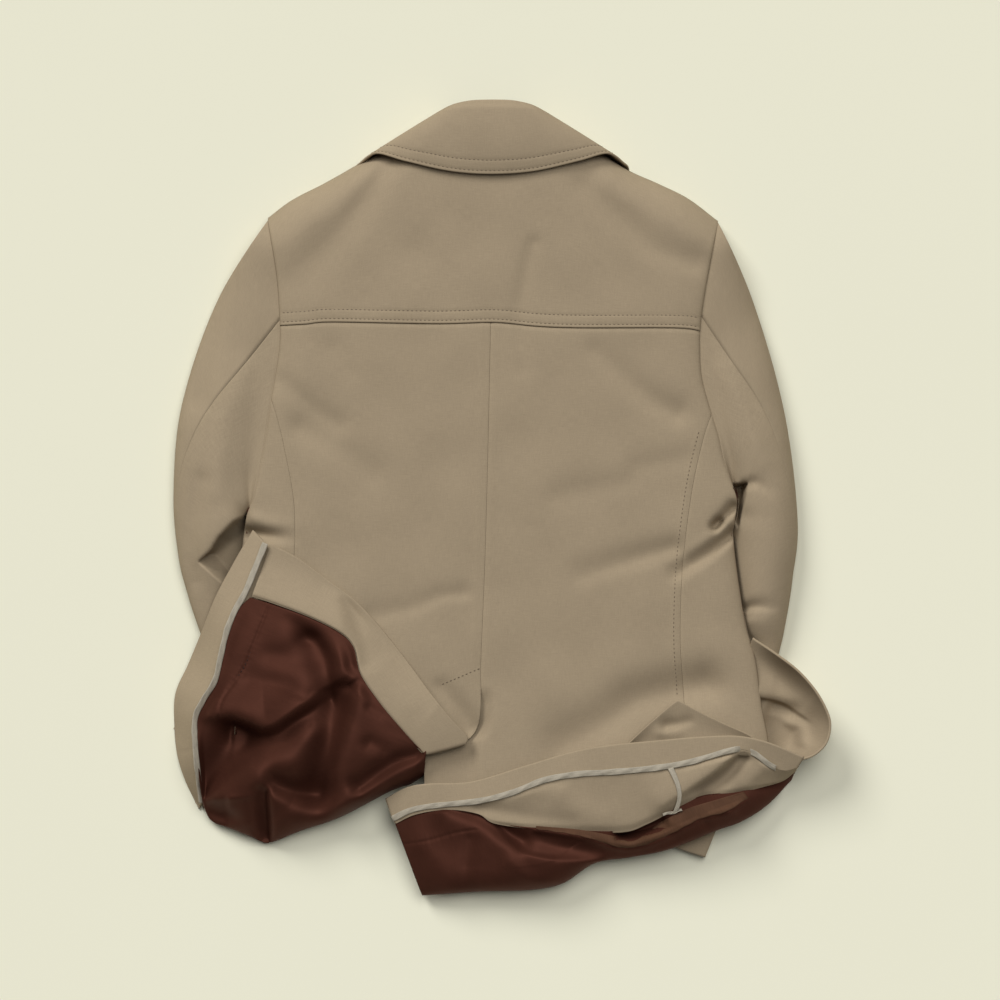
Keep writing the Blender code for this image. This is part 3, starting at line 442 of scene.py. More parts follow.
CORNER_FOOT = (
    (122, -256, 40), (131, -254, 40), (150, -252, 40), (172, -250, 40.5), (184, -250, 41), (199, -250, 41),
    (224, -250, 41), (244, -250, 40), (260, -252, 39),
)
TACK_X = 172.0
TACK_WIDTH = 5.5
TACK_BOW = 6.0
TAB_WIDTH = 19.0

# Studio: where each light stands, how wide it is in degrees, and its strength; then the camera.
KEY_LIGHT = ((-1.6, 2.3, 1.9), 26.0, 2.13)
OVERHEAD_LIGHT = ((0.6, 1.3, 3.0), 44.0, 1.80)
AMBIENT_COLOUR = (1.0, 0.99, 0.97, 1.0)
AMBIENT_STRENGTH = 0.11
FLOOR_HALF = 20.0
CAMERA_HEIGHT = 5.03
CAMERA_LENS = 180.0
CAMERA_SENSOR = 36.0


class CoatSizes(bpy.types.PropertyGroup):
    """Sizes of the coat's cloth and stitching."""

    shell_wall: FloatProperty(
        name="Shell thickness", description="Thickness of the outer cloth",
        default=0.0010, unit="LENGTH")
    collar_wall: FloatProperty(
        name="Collar thickness", description="Thickness of one layer of the collar",
        default=0.0009, unit="LENGTH")
    lining_wall: FloatProperty(
        name="Lining thickness", description="Thickness of the satin lining",
        default=0.0007, unit="LENGTH")
    tape_wall: FloatProperty(
        name="Tape thickness", description="Thickness of the binding tape",
        default=0.0008, unit="LENGTH")
    tape_width: FloatProperty(
        name="Tape width", description="Width of the binding tape",
        default=0.0060, unit="LENGTH")
    seam_depth: FloatProperty(
        name="Seam depth", description="How far a pressed seam sinks",
        default=0.0004, unit="LENGTH")
    cloth_step: FloatProperty(
        name="Cloth step", description="Spacing of the grids the cloth is made of",
        default=0.0026, unit="LENGTH")
    stitch_pitch: FloatProperty(
        name="Stitch pitch", description="Distance from one stitch to the next",
        default=0.0043, unit="LENGTH")
    stitch_length: FloatProperty(
        name="Stitch length", description="Length of one stitch",
        default=0.0026, unit="LENGTH")
    thread: FloatProperty(
        name="Thread", description="Thickness of the sewing thread",
        default=0.0010, unit="LENGTH")
    fold_depth: FloatProperty(
        name="Fold depth", description="Share of the drawn depth of every crease",
        default=1.25, min=0.0, max=2.0, subtype="FACTOR")


class CoatColours(bpy.types.PropertyGroup):
    """Colours of the coat and of the surface it lies on."""

    shell: FloatVectorProperty(
        name="Shell", description="Taupe outer cloth",
        default=(0.322, 0.253, 0.168), subtype="COLOR")
    shell_thread: FloatVectorProperty(
        name="Shell thread", description="Thread of the top stitching",
        default=(0.140, 0.105, 0.068), subtype="COLOR")
    lining: FloatVectorProperty(
        name="Lining", description="Dark brown satin",
        default=(0.084, 0.030, 0.019), subtype="COLOR")
    lining_reverse: FloatVectorProperty(
        name="Lining reverse", description="Duller back of the satin",
        default=(0.088, 0.043, 0.024), subtype="COLOR")
    tape: FloatVectorProperty(
        name="Tape", description="Cream binding tape",
        default=(0.405, 0.358, 0.276), subtype="COLOR")
    floor: FloatVectorProperty(
        name="Floor", description="Pale surface under the coat",
        default=(0.790, 0.775, 0.620), subtype="COLOR")


def sizes():
    return bpy.context.scene.coat_sizes


def colours():
    return bpy.context.scene.coat_colours


def bend(a, b, c, d, t):
    """A smooth curve from b to c, headed by a and d, at shares t of the way."""
    return b + 0.5 * t * (c - a + t * (2 * a - 5 * b + 4 * c - d + t * (3 * (b - c) + d - a)))


def run_along(points):
    """Distance along a line of points, from its start."""
    return np.concatenate([[0.0], np.cumsum(np.linalg.norm(np.diff(points, axis=0), axis=1))])


def smooth(points, shares):
    """Points at the given shares of the length of a smooth curve through the given points."""
    given = np.array(points, dtype=float)
    ends = np.vstack([2 * given[0] - given[1], given, 2 * given[-1] - given[-2]])
    steps = np.linspace(0.0, 1.0, 16, endpoint=False)[:, None]
    spans = []
    for k in range(len(given) - 1):
        spans.append(bend(*ends[k:k + 4], steps))
    fine = np.vstack(spans + [given[-1:]])
    run = run_along(fine)
    where = np.asarray(shares, dtype=float) * run[-1]
    return np.stack([np.interp(where, run, fine[:, k]) for k in range(fine.shape[1])], axis=-1)


def stations(table, places):
    """Rows of a table at whole and part rows, read on a smooth curve through them."""
    rows = np.array(table, dtype=float)
    ends = np.vstack([2 * rows[0] - rows[1], rows, 2 * rows[-1] - rows[-2]])
    places = np.asarray(places, dtype=float)
    k = np.clip(places.astype(int), 0, len(rows) - 2)
    t = (places - k)[..., None]
    return bend(ends[k], ends[k + 1], ends[k + 2], ends[k + 3], t)


def column(table, key):
    """The second column of a table at keys of its first, read on a smooth curve through its rows."""
    rows = smooth(sorted(table), np.linspace(0.0, 1.0, 240))
    return np.interp(key, rows[:, 0], rows[:, 1])


def ease(share):
    """A soft step from nought to one."""
    share = np.clip(share, 0.0, 1.0)
    return share * share * (3.0 - 2.0 * share)


def roll(distance, radius):
    """A quarter round: nought at an edge, one beyond the radius."""
    share = np.clip(distance / radius, 0.0, 1.0)
    return np.sqrt(1.0 - (1.0 - share) ** 2)


def nearest(x, y, path, samples=90):
    """For each point: distance to the left of a path, distance past its ends, and share of its length."""
    line = smooth(path, np.linspace(0.0, 1.0, samples))[:, :2]
    run = np.gradient(line, axis=0)
    run /= np.linalg.norm(run, axis=1)[:, None]
    dx = np.ravel(x)[:, None] - line[:, 0]
    dy = np.ravel(y)[:, None] - line[:, 1]
    k = np.argmin(dx * dx + dy * dy, axis=1)
    row = np.arange(len(k))
    dx = dx[row, k]
    dy = dy[row, k]
    off = run[k, 0] * dy - run[k, 1] * dx
    past = np.where((k == 0) | (k == samples - 1), run[k, 0] * dx + run[k, 1] * dy, 0.0)
    shape = np.shape(x)
    return off.reshape(shape), past.reshape(shape), (k / (samples - 1)).reshape(shape)


def folds(x, y, table):
    """Height added by the soft troughs and ridges of a table."""
    height = np.zeros(np.shape(x))
    for path, width, end_width, depth, end_depth, lean in table:
        places = np.array(path, dtype=float)
        reach = 3.0 * max(width, end_width) * (1.0 + abs(lean))
        near = (x > places[:, 0].min() - reach) & (x < places[:, 0].max() + reach)
        near &= (y > places[:, 1].min() - reach) & (y < places[:, 1].max() + reach)
        if not near.any():
            continue
        off, past, share = nearest(x[near], y[near], path, 60)
        wide = width + (end_width - width) * share
        leant = wide * (1.0 + lean * np.sign(off))
        deep = depth + (end_depth - depth) * share
        height[near] += deep * np.exp(-(off / leant) ** 2 - (past / wide) ** 2)
    return height * sizes().fold_depth


def lie(x, y, amount=0.5):
    """The slight unevenness of cloth that has been laid down by hand."""
    waves = (
        (0.047, 0.021, 0.3), (-0.029, 0.052, 1.9), (0.081, -0.036, 4.1), (0.018, -0.088, 2.7),
        (0.067, 0.074, 5.3),
    )
    return amount * sum(np.sin(a * x + b * y + c) for a, b, c in waves) / 2.0


def hollow(x, y, corners, depth, soft):
    """How far cloth sinks inside a small outline, easing from its brim."""
    outline = np.array(corners, dtype=float)
    inside = np.zeros(np.shape(x), dtype=bool)
    away = np.full(np.shape(x), 1e9)
    for (ax, ay), (bx, by) in zip(outline, np.roll(outline, -1, axis=0)):
        crosses = (ay > y) != (by > y)
        at = ax + (y - ay) * (bx - ax) / (by - ay if by != ay else 1e-9)
        inside ^= crosses & (x < at)
        along = (x - ax) * (bx - ax) + (y - ay) * (by - ay)
        share = np.clip(along / ((bx - ax) ** 2 + (by - ay) ** 2), 0.0, 1.0)
        away = np.minimum(away, np.hypot(x - ax - share * (bx - ax), y - ay - share * (by - ay)))
    return depth * np.clip(np.where(inside, away, 0.0) / soft, 0.0, 1.0) ** 0.85


def seam_dip(distance):
    """How far the edge of a panel sinks into its seam."""
    return sizes().seam_depth / MM * (1.0 - ease(distance / 2.6))


def shares(length, step=None):
    """Shares of a length at an even step, finer near both ends."""
    step = step or sizes().cloth_step / MM
    places = np.array(EDGE_PLACES)
    count = max(int(round((length - 2 * places[-1]) / step)), 2)
    middle = np.linspace(places[-1], length - places[-1], count + 1)
    return np.concatenate([places[:-1], middle, length - places[:-1][::-1]]) / length


def net(across, along):
    """Two grids: the places across a piece and the places along it."""
    return np.meshgrid(np.asarray(across, dtype=float), np.asarray(along, dtype=float))


def stacked(x, y, z):
    """A grid of points from its grids of x, y and z."""
    return np.stack(np.broadcast_arrays(x, y, z), axis=-1)


def parts(points):
    """The grids of x, y and, if it has one, z of a grid of points."""
    return np.moveaxis(points, -1, 0)


def side_edge(y):
    """Height of the side edge: held up by the sleeve head above, lying over the forearm below."""
    return SIDE_EDGE + (ARMHOLE_EDGE - SIDE_EDGE) * ease((y + 35.0) / 45.0)


def back_height(x, y):
    """Height of the back before its creases."""
    x, y = np.broadcast_arrays(np.asarray(x, dtype=float), np.asarray(y, dtype=float))
    left = roll(x - column(EDGE_LEFT, y), SIDE_ROLL)
    right = roll(column(EDGE_RIGHT, y) - x, SIDE_ROLL)
    flat = column(BACK_TOP, y) + CROWN * (1.0 - np.minimum(np.abs(x) / HALF_BACK, 1.0) ** 2)
    edge = side_edge(y)
    laid = edge + (flat - edge) * left * right
    reach = np.full(x.shape, SHOULDER_ROLL)
    high = y > SHOULDERS_ABOVE
    for line in (SHOULDER_LEFT, SHOULDER_RIGHT):
        off, past, _ = nearest(x[high], y[high], line)
        reach[high] = np.minimum(reach[high], np.hypot(off, past))
    return SHOULDER_EDGE + (laid - SHOULDER_EDGE) * roll(reach - SHOULDER_SLACK, SHOULDER_ROLL)


def back_surface(x, y):
    """Height of the outer face of the back, with its creases."""
    x, y = np.broadcast_arrays(np.asarray(x, dtype=float), np.asarray(y, dtype=float))
    return back_height(x, y) + folds(x, y, BACK_FOLDS) + lie(x, y)


def flap_height(x, y):
    """Height of the left skirt where it is thrown over the back and sleeve."""
    across = x - FLAP_MIDDLE[0]
    fall = np.where(across < 0, FLAP_FALL_LEFT, FLAP_FALL_RIGHT)
    below = FLAP_DROOP_BELOW - y
    droop = FLAP_DROOP * (np.hypot(below, FLAP_DROOP_EASE) + below) / 2
    return FLAP_TOP - fall * across ** 2 - FLAP_FALL_ALONG * (y - FLAP_MIDDLE[1]) ** 2 - droop


def under_sleeves(x, y):
    """Height the fronts are lifted to by the sleeves and collar that lie under them."""
    left = np.interp(-y, *zip(*FOREARM_INNER_LEFT))
    right = np.interp(-y, *zip(*FOREARM_INNER_RIGHT))
    lift = np.maximum(ease((left + 30.0 - x) / 22.0) * ease((-2.0 - y) / 18.0),
                      ease((x - right + 30.0) / 22.0) * ease((4.0 - y) / 20.0))
    collar = ease((y - 208.0) / 24.0) * ease((178.0 - np.abs(x - COLLAR_MIDDLE)) / 20.0)
    return FRONT_OVER_SLEEVE * lift + FRONT_OVER_COLLAR * collar


def turned(points, edge, radius, reach, steps=6):
    """A grid with one edge folded under: a half round, then a return of the given reach, which may taper."""
    reach = np.broadcast_to(reach, (points.shape[1] if "row" in edge else points.shape[0],))[:, None]
    grid = points if "row" in edge else points.transpose(1, 0, 2)
    grid = grid[::-1] if "first" in edge else grid
    brim = grid[-1]
    out = brim - grid[-3]
    out /= np.linalg.norm(out, axis=1)[:, None]
    along = np.gradient(brim, axis=0)
    along /= np.linalg.norm(along, axis=1)[:, None]
    up = np.cross(out, along)
    up /= np.linalg.norm(up, axis=1)[:, None]
    up *= -1.0 if up[len(up) // 2, 2] < 0 else 1.0
    rows = []
    for k in range(1, steps + 1):
        turn = math.pi * k / steps
        rows.append(brim + radius * (out * math.sin(turn) - up * (1.0 - math.cos(turn))))
    for share in (0.34, 0.67, 1.0):
        rows.append(brim - up * 2.0 * radius - out * reach * share)
    folded = np.concatenate([grid, np.array(rows)])
    folded = folded[::-1] if "first" in edge else folded
    return folded if "row" in edge else folded.transpose(1, 0, 2)


def mesh_of(shape, name):
    """A mesh from a finished bmesh, which is freed."""
    mesh = bpy.data.meshes.new(name)
    shape.to_mesh(mesh)
    shape.free()
    return mesh


def add_object(name, data):
    """An object with the given data, linked to the scene."""
    made = bpy.data.objects.new(name, data)
    bpy.context.scene.collection.objects.link(made)
    return made


def grid_mesh(name, points, face_up):
    """A mesh on a grid of points, with its grain as a map in metres."""
    rows, columns = points.shape[:2]
    shape = bmesh.new()
    bmesh.ops.create_grid(shape, x_segments=columns - 1, y_segments=rows - 1, size=0.5)
    mesh = mesh_of(shape, name)
    flat = np.empty(len(mesh.vertices) * 3, dtype=np.float32)
    mesh.vertices.foreach_get("co", flat)
    flat = flat.reshape(-1, 3)
    across = np.rint((flat[:, 0] + 0.5) * (columns - 1)).astype(int)
    along = np.rint((flat[:, 1] + 0.5) * (rows - 1)).astype(int)
    placed = (points[along, across] - MIDDLE) * MM
    mesh.vertices.foreach_set("co", placed.astype(np.float32).ravel())
    width = np.cumsum(np.linalg.norm(np.diff(points, axis=1, prepend=points[:, :1]), axis=2), axis=1)
    width -= width[:, columns // 2][:, None]
    length = np.cumsum(np.linalg.norm(np.diff(points, axis=0, prepend=points[:1]), axis=2), axis=0)
    grain = np.stack([width, np.broadcast_to(length[:, columns // 2][:, None], width.shape)], axis=-1) * MM
    corners = np.empty(len(mesh.loops), dtype=np.int32)
    mesh.loops.foreach_get("vertex_index", corners)
    layer = mesh.uv_layers.new(name="grain")
    layer.data.foreach_set("uv", grain[along[corners], across[corners]].astype(np.float32).ravel())
    du = np.gradient(points, axis=1)
    dv = np.gradient(points, axis=0)
    middle = slice(columns // 3, max(2 * columns // 3, columns // 3 + 1))
    facing = np.sum((du[..., 0] * dv[..., 1] - du[..., 1] * dv[..., 0])[:, middle])
    if (facing > 0) != face_up:
        mesh.flip_normals()
    mesh.shade_smooth()
    mesh.update()
    return mesh


def cloth_piece(name, points, finish, wall, inside=None, face_up=True, nodes=None):
    """A thin closed shell of cloth on a grid of points, riding on the frame in place of the parts it hides.
    """
    lowest = LEAST_CLEARANCE + (wall / MM if face_up else 0.0)
    points = stacked(points[..., 0], points[..., 1], np.maximum(points[..., 2], lowest))
    mesh = grid_mesh(name + "_cloth", points, face_up)
    piece = add_object(name + "_cloth", mesh)
    material, slot = finish
    mesh.materials.append(material)
    thicken = piece.modifiers.new("thickness", "SOLIDIFY")
    thicken.thickness = wall
    thicken.offset = -1.0
    if inside is not None:
        mesh.materials.append(inside)
        thicken.material_offset = 1
    if not mesh.polygons or not np.isfinite(points).all():
        raise RuntimeError(name + ": the cloth could not be made")
    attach(piece, BODY)
    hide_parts(*(nodes or (name,)))
    return piece


def stitch_piece(name, lines, material, length=None):
    """Thread: short stitches along lines of points that lie on the cloth."""
    pitch = sizes().stitch_pitch
    length = length or sizes().stitch_length
    thick = sizes().thread
    shape = bmesh.new()
    for line in lines:
        points = (np.asarray(line, dtype=float) - MIDDLE) * MM
        run = run_along(points)
        for start in np.arange(pitch * 0.5, run[-1] - length, pitch):
            ends = [Vector([np.interp(at, run, points[:, k]) for k in range(3)])
                    for at in (start, start + length)]
            along = (ends[1] - ends[0]).normalized()
            side = along.cross(Vector((0.0, 0.0, 1.0))).normalized()
            up = side.cross(along)
            turn = Matrix((along, side, up)).transposed().to_4x4()
            place = Matrix.Translation((ends[0] + ends[1]) / 2 - up * thick * THREAD_SINK)
            size = Matrix.Diagonal((length / 2, thick / 2, thick / 2, 1.0))
            bmesh.ops.create_uvsphere(shape, u_segments=6, v_segments=5, radius=1.0,
                                      matrix=place @ turn @ size)
    mesh = mesh_of(shape, name)
    if not mesh.polygons:
        raise RuntimeError(name + ": no stitch could be sewn")
    mesh.shade_smooth()
    mesh.materials.append(material)
    piece = add_object(name, mesh)
    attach(piece, BODY)
    return piece


class Finish:
    """A material under way: its node tree, its shader and short ways to add nodes."""

    def __init__(self, name):
        self.material = bpy.data.materials.new(name)
        self.material.use_nodes = True
        self.tree = self.material.node_tree
        self.shader = self.tree.nodes["Principled BSDF"]

    def add(self, kind, **values):
        node = self.tree.nodes.new(kind)
        for key, value in values.items():
            if key in node.inputs:
                node.inputs[key].default_value = value
            else:
                setattr(node, key, value)
        return node

    def link(self, start, end):
        self.tree.links.new(start, end)

    def grain(self, stretch):
        """The grain map in millimetres, stretched along warp and weft."""
        source = self.add("ShaderNodeUVMap", uv_map="grain")
        mapped = self.add("ShaderNodeMapping", Scale=(stretch[0] * 1000, stretch[1] * 1000, 1000.0))
        self.link(source.outputs["UV"], mapped.inputs["Vector"])
        return mapped.outputs["Vector"]

    def noise(self, stretch, scale, detail=2.0, roughness=0.5):
        made = self.add("ShaderNodeTexNoise", Scale=scale, Detail=detail, Roughness=roughness)
        self.link(self.grain(stretch), made.inputs["Vector"])
        return made.outputs["Fac"]

    def wave(self, stretch, scale, direction, distortion=0.0):
        made = self.add("ShaderNodeTexWave", Scale=scale, Distortion=distortion, Detail=1.0)
        made.bands_direction = direction
        self.link(self.grain(stretch), made.inputs["Vector"])
        return made.outputs["Fac"]

    def math(self, operation, first, second):
        made = self.add("ShaderNodeMath", operation=operation)
        for socket, value in zip(made.inputs, (first, second)):
            if isinstance(value, (int, float)):
                socket.default_value = value
            else:
                self.link(value, socket)
        return made.outputs[0]

    def blend(self, parts):
        """A weighted sum of grey textures round a half."""
        total = 0.5
        for source, weight in parts:
            centred = self.math("SUBTRACT", source, 0.5)
            total = self.math("ADD", self.math("MULTIPLY", centred, weight), total)
        return total

    def colour(self, factor, dark, light):
        made = self.add("ShaderNodeMix", data_type="RGBA")
        self.link(factor, made.inputs["Factor"])
        made.inputs[6].default_value = (*dark, 1.0)
        made.inputs[7].default_value = (*light, 1.0)
        self.link(made.outputs[2], self.shader.inputs["Base Color"])

    def roughness(self, factor, low, high):
        made = self.add("ShaderNodeMapRange")
        made.inputs["To Min"].default_value = low
        made.inputs["To Max"].default_value = high
        self.link(factor, made.inputs["Value"])
        self.link(made.outputs["Result"], self.shader.inputs["Roughness"])

    def bump(self, height, strength, distance):
        made = self.add("ShaderNodeBump", Strength=strength, Distance=distance)
        self.link(height, made.inputs["Height"])
        self.link(made.outputs["Normal"], self.shader.inputs["Normal"])

    def sheen(self, weight, roughness, tint):
        self.shader.inputs["Sheen Weight"].default_value = weight
        self.shader.inputs["Sheen Roughness"].default_value = roughness
        self.shader.inputs["Sheen Tint"].default_value = (*tint, 1.0)


def scaled(colour, factor):
    return tuple(min(value * factor, 1.0) for value in colour)


def finished(name, paint, *details):
    """The material of that name, painted the first time it is asked for."""
    found = bpy.data.materials.get(name)
    if found:
        return found
    made = Finish(name)
    paint(made, *details)
    return made.material


def paint_twill(made):
    """Fine smooth twill: slubs along warp and weft, a slight nap, a matt face."""
    warp = made.noise((1.0, 0.09), 1.1, 3.0)
    weft = made.noise((0.09, 1.0), 1.1, 3.0)
    nap = made.noise((1.0, 1.0), 1.1, 3.0, 0.6)
    mottle = made.noise((1.0, 1.0), 0.02, 3.0)
    twill = made.wave((1.0, 1.0), 0.5, "DIAGONAL", 1.6)
    made.colour(made.blend(((warp, 0.60), (weft, 0.60), (nap, 0.85), (mottle, 0.40), (twill, 0.25))),
                scaled(colours().shell, 0.82), scaled(colours().shell, 1.18))
    made.roughness(nap, 0.76, 0.94)
    made.bump(made.blend(((twill, 0.5), (warp, 0.3), (weft, 0.3), (nap, 0.6))),
              strength=0.25, distance=0.0004)
    made.sheen(weight=0.05, roughness=0.45, tint=scaled(colours().shell, 1.8))
    made.shader.inputs["Specular IOR Level"].default_value = 0.15


def paint_satin(made):
    """Dark satin: close weft floats, a soft gloss and the faint unevenness of light cloth."""
    floats = made.noise((0.07, 1.0), 1.1, 2.0)
    cloud = made.noise((1.0, 1.0), 0.03, 3.0)
    crumple = made.noise((1.0, 0.6), 0.085, 2.0)
    twill = made.wave((1.0, 1.0), 0.6, "DIAGONAL", 1.0)
    made.colour(made.blend(((floats, 0.5), (cloud, 0.9), (twill, 0.2))),
                scaled(colours().lining, 0.75), scaled(colours().lining, 1.3))
    made.roughness(made.blend(((floats, 0.5), (cloud, 0.6))), 0.54, 0.66)
    made.bump(made.blend(((floats, 0.2), (twill, 0.12), (crumple, 1.0))), strength=0.20, distance=0.0010)
    made.sheen(weight=0.05, roughness=0.35, tint=scaled(colours().lining, 4.0))
    made.shader.inputs["Specular IOR Level"].default_value = 0.08
    made.shader.inputs["Metallic"].default_value = 0.55
    made.shader.inputs["Anisotropic"].default_value = 0.35


def paint_reverse(made):
    """The duller back of the satin, with a fuzz of loose floats."""
    floats = made.noise((0.1, 1.0), 0.9, 3.0)
    cloud = made.noise((1.0, 1.0), 0.05, 3.0)
    made.colour(made.blend(((floats, 0.7), (cloud, 0.8))),
                scaled(colours().lining_reverse, 0.65), scaled(colours().lining_reverse, 1.35))
    made.roughness(floats, 0.6, 0.8)
    made.bump(made.blend(((floats, 0.8), (cloud, 0.6))), strength=0.4, distance=0.0006)
    made.sheen(weight=0.04, roughness=0.4, tint=scaled(colours().lining_reverse, 2.0))
    made.shader.inputs["Specular IOR Level"].default_value = 0.1


def paint_tape(made):
    """Cream ribbon with a ribbed weave and a slight gloss."""
    ribs = made.wave((1.0, 1.0), 0.33, "Y", 2.0)
    threads = made.noise((1.2, 0.15), 0.9, 3.0)
    wear = made.noise((1.0, 1.0), 0.09, 3.0)
    made.colour(made.blend(((ribs, 0.5), (threads, 1.1), (wear, 1.1))),
                scaled(colours().tape, 0.72), scaled(colours().tape, 1.2))
    made.roughness(threads, 0.42, 0.66)
    made.bump(made.blend(((ribs, 0.8), (threads, 0.8))), strength=0.5, distance=0.0005)
    made.sheen(weight=0.15, roughness=0.4, tint=colours().tape)


def paint_thread(made, colour):
    """Twisted thread: the twist shows as fine slanting bands."""
    place = made.add("ShaderNodeTexCoord")
    twist = made.add("ShaderNodeTexWave", Scale=900.0, Distortion=1.0)
    twist.bands_direction = "DIAGONAL"
    made.link(place.outputs["Object"], twist.inputs["Vector"])
    made.colour(twist.outputs["Fac"], scaled(colour, 0.75), scaled(colour, 1.2))
    made.roughness(twist.outputs["Fac"], 0.55, 0.75)
    made.bump(twist.outputs["Fac"], strength=0.3, distance=0.0002)


def shell():
    return finished("taupe_twill", paint_twill), "shell_cloth"


def lining_satin():
    return finished("brown_satin", paint_satin)


def lining():
    return lining_satin(), "lining_satin"


def lining_back():
    return finished("satin_reverse", paint_reverse), "lining_satin"


def tape():
    return finished("cream_tape", paint_tape), "binding_tape"


def yoke_points():
    """The yoke: from its lapped lower edge to the shoulders and neck."""
    across = shares(YOKE_WIDTH)
    even = np.linspace(17.0, 150.0, 52)
    close = np.linspace(151.5, YOKE_DEPTH, 20)
    along = np.concatenate([YOKE_ROWS, even, close]) / YOKE_DEPTH
    u, v = net(across, along)
    low_x = YOKE_ENDS[0] + (YOKE_ENDS[1] - YOKE_ENDS[0]) * u
    top_x = YOKE_TOP[0][0] + (YOKE_TOP[-1][0] - YOKE_TOP[0][0]) * u
    low_y = column(YOKE_SEAM, low_x)
    top_y = column(YOKE_TOP, top_x)
    y = low_y + (top_y - low_y) * v
    x = low_x + (top_x - low_x) * v
    left = column(EDGE_LEFT, y[:, :1]) - x[:, :1]
    right = column(EDGE_RIGHT, y[:, -1:]) - x[:, -1:]
    x = x + left * (1.0 - u) + right * u
    z = back_surface(x, y) + 0.4
    above = y - column(YOKE_SEAM, x)
    for row in YOKE_STITCH_ROWS:
        z -= STITCH_DIP * np.exp(-((above - row) / 1.2) ** 2)
    z -= 0.6 * (1.0 - roll(above, 1.4))
    z -= seam_dip(x - column(EDGE_LEFT, y)) + seam_dip(column(EDGE_RIGHT, y) - x)
    return stacked(x, y, z)


def panel_points(left, right, head, foot, length, width):
    """A panel of the back between two seams, its head and foot read at each x."""
    u, v = net(shares(width), shares(length))
    # A first guess at y, which three rounds then settle.
    y = 170.0 - 400.0 * v
    x = left(y) + (right(y) - left(y)) * u
    for _ in range(3):
        y = head(x) + (foot(x) - head(x)) * v
        x = left(y) + (right(y) - left(y)) * u
    z = back_surface(x, y)
    z -= seam_dip(x - left(y))
    z -= seam_dip(right(y) - x)
    return x, y, z


def under_yoke(x, y):
    """How far a back panel sinks where it runs under the lapped yoke."""
    return YOKE_LAP * ease((y - column(YOKE_SEAM, x) + 3.5) / 4.5)


def pressed_ridge(x, y, seam, aside, amount):
    """The faint ridge that a pressed seam allowance leaves beside its seam."""
    return amount * np.exp(-((x - column(seam, y) - aside) / 1.4) ** 2)


def back_panels():
    """The two backs and the two side panels."""
    def head(x):
        return column(YOKE_SEAM, x) + UNDER_YOKE

    def left_foot(x):
        return column(LEFT_BACK_FOOT, x)

    def right_foot(x):
        return np.full(np.shape(x), RIGHT_BACK_FOOT)

    def left_edge(y):
        return np.maximum(column(EDGE_LEFT, y), column(SEAM_LEFT, y)) + SEAM_GAP

    def right_edge(y):
        return np.minimum(column(EDGE_RIGHT, y), column(SEAM_RIGHT, y)) - SEAM_GAP

    def centre(y):
        return column(CENTRE_SEAM, y)

    def beside_centre(y):
        return centre(y) - SEAM_GAP

    def underlap(y):
        return np.where(y > -195.0, centre(y) + SEAM_GAP, column(UNDERLAP_EDGE, y))

    x, y, z = panel_points(left_edge, beside_centre, head, left_foot, length=430, width=205)
    ridge = pressed_ridge(x, y, CENTRE_SEAM, aside=-8.0, amount=0.3)
    z += ridge - pressed_ridge(x, y, CENTRE_SEAM, aside=-4.0, amount=0.12)
    z += pressed_ridge(x, y, SEAM_LEFT, aside=7.0, amount=0.25) * ease((80.0 - y) / 30.0)
    z -= under_yoke(x, y)
    inside = lining_satin()
    wall = sizes().shell_wall
    cloth_piece("back_left", stacked(x, y, z), shell(), wall,
                inside=inside)

    x, y, z = panel_points(underlap, right_edge, head, right_foot, length=480, width=215)
    z += pressed_ridge(x, y, CENTRE_SEAM, aside=6.0, amount=0.22) * ease((y + 190.0) / 30.0)
    for aside in (-8.0, -5.0):
        z += pressed_ridge(x, y, SEAM_RIGHT, aside, amount=0.28) * ease((80.0 - y) / 30.0)
    z -= under_yoke(x, y)
    z -= VENT_LAP * ease((centre(np.maximum(y, -240.0)) + 16.0 - x) / 14.0) * ease((-185.0 - y) / 20.0)
    cloth_piece("back_right", stacked(x, y, z), shell(), wall,
                inside=inside)

    for name, outer, seam, side, top in (
            ("side_left", EDGE_LEFT, SEAM_LEFT, 1.0, 105.0),
            ("side_right", EDGE_RIGHT, SEAM_RIGHT, -1.0, 92.0)):
        u, v = net(shares(60.0), shares(top - SIDE_PANEL_FOOT))
        y = top + (SIDE_PANEL_FOOT - top) * v
        edge = column(outer, y)
        inner = column(seam, y) - side * SEAM_GAP
        inner = np.where((inner - edge) * side < 0.4, edge + side * 0.4, inner)
        x = edge + (inner - edge) * u
        z = back_surface(x, y) - seam_dip(np.abs(inner - x))
        z -= seam_dip(np.abs(x - edge)) * ease((y + 20.0) / 30.0)
        cloth_piece(name, stacked(x, y, z), shell(), wall, inside=inside)


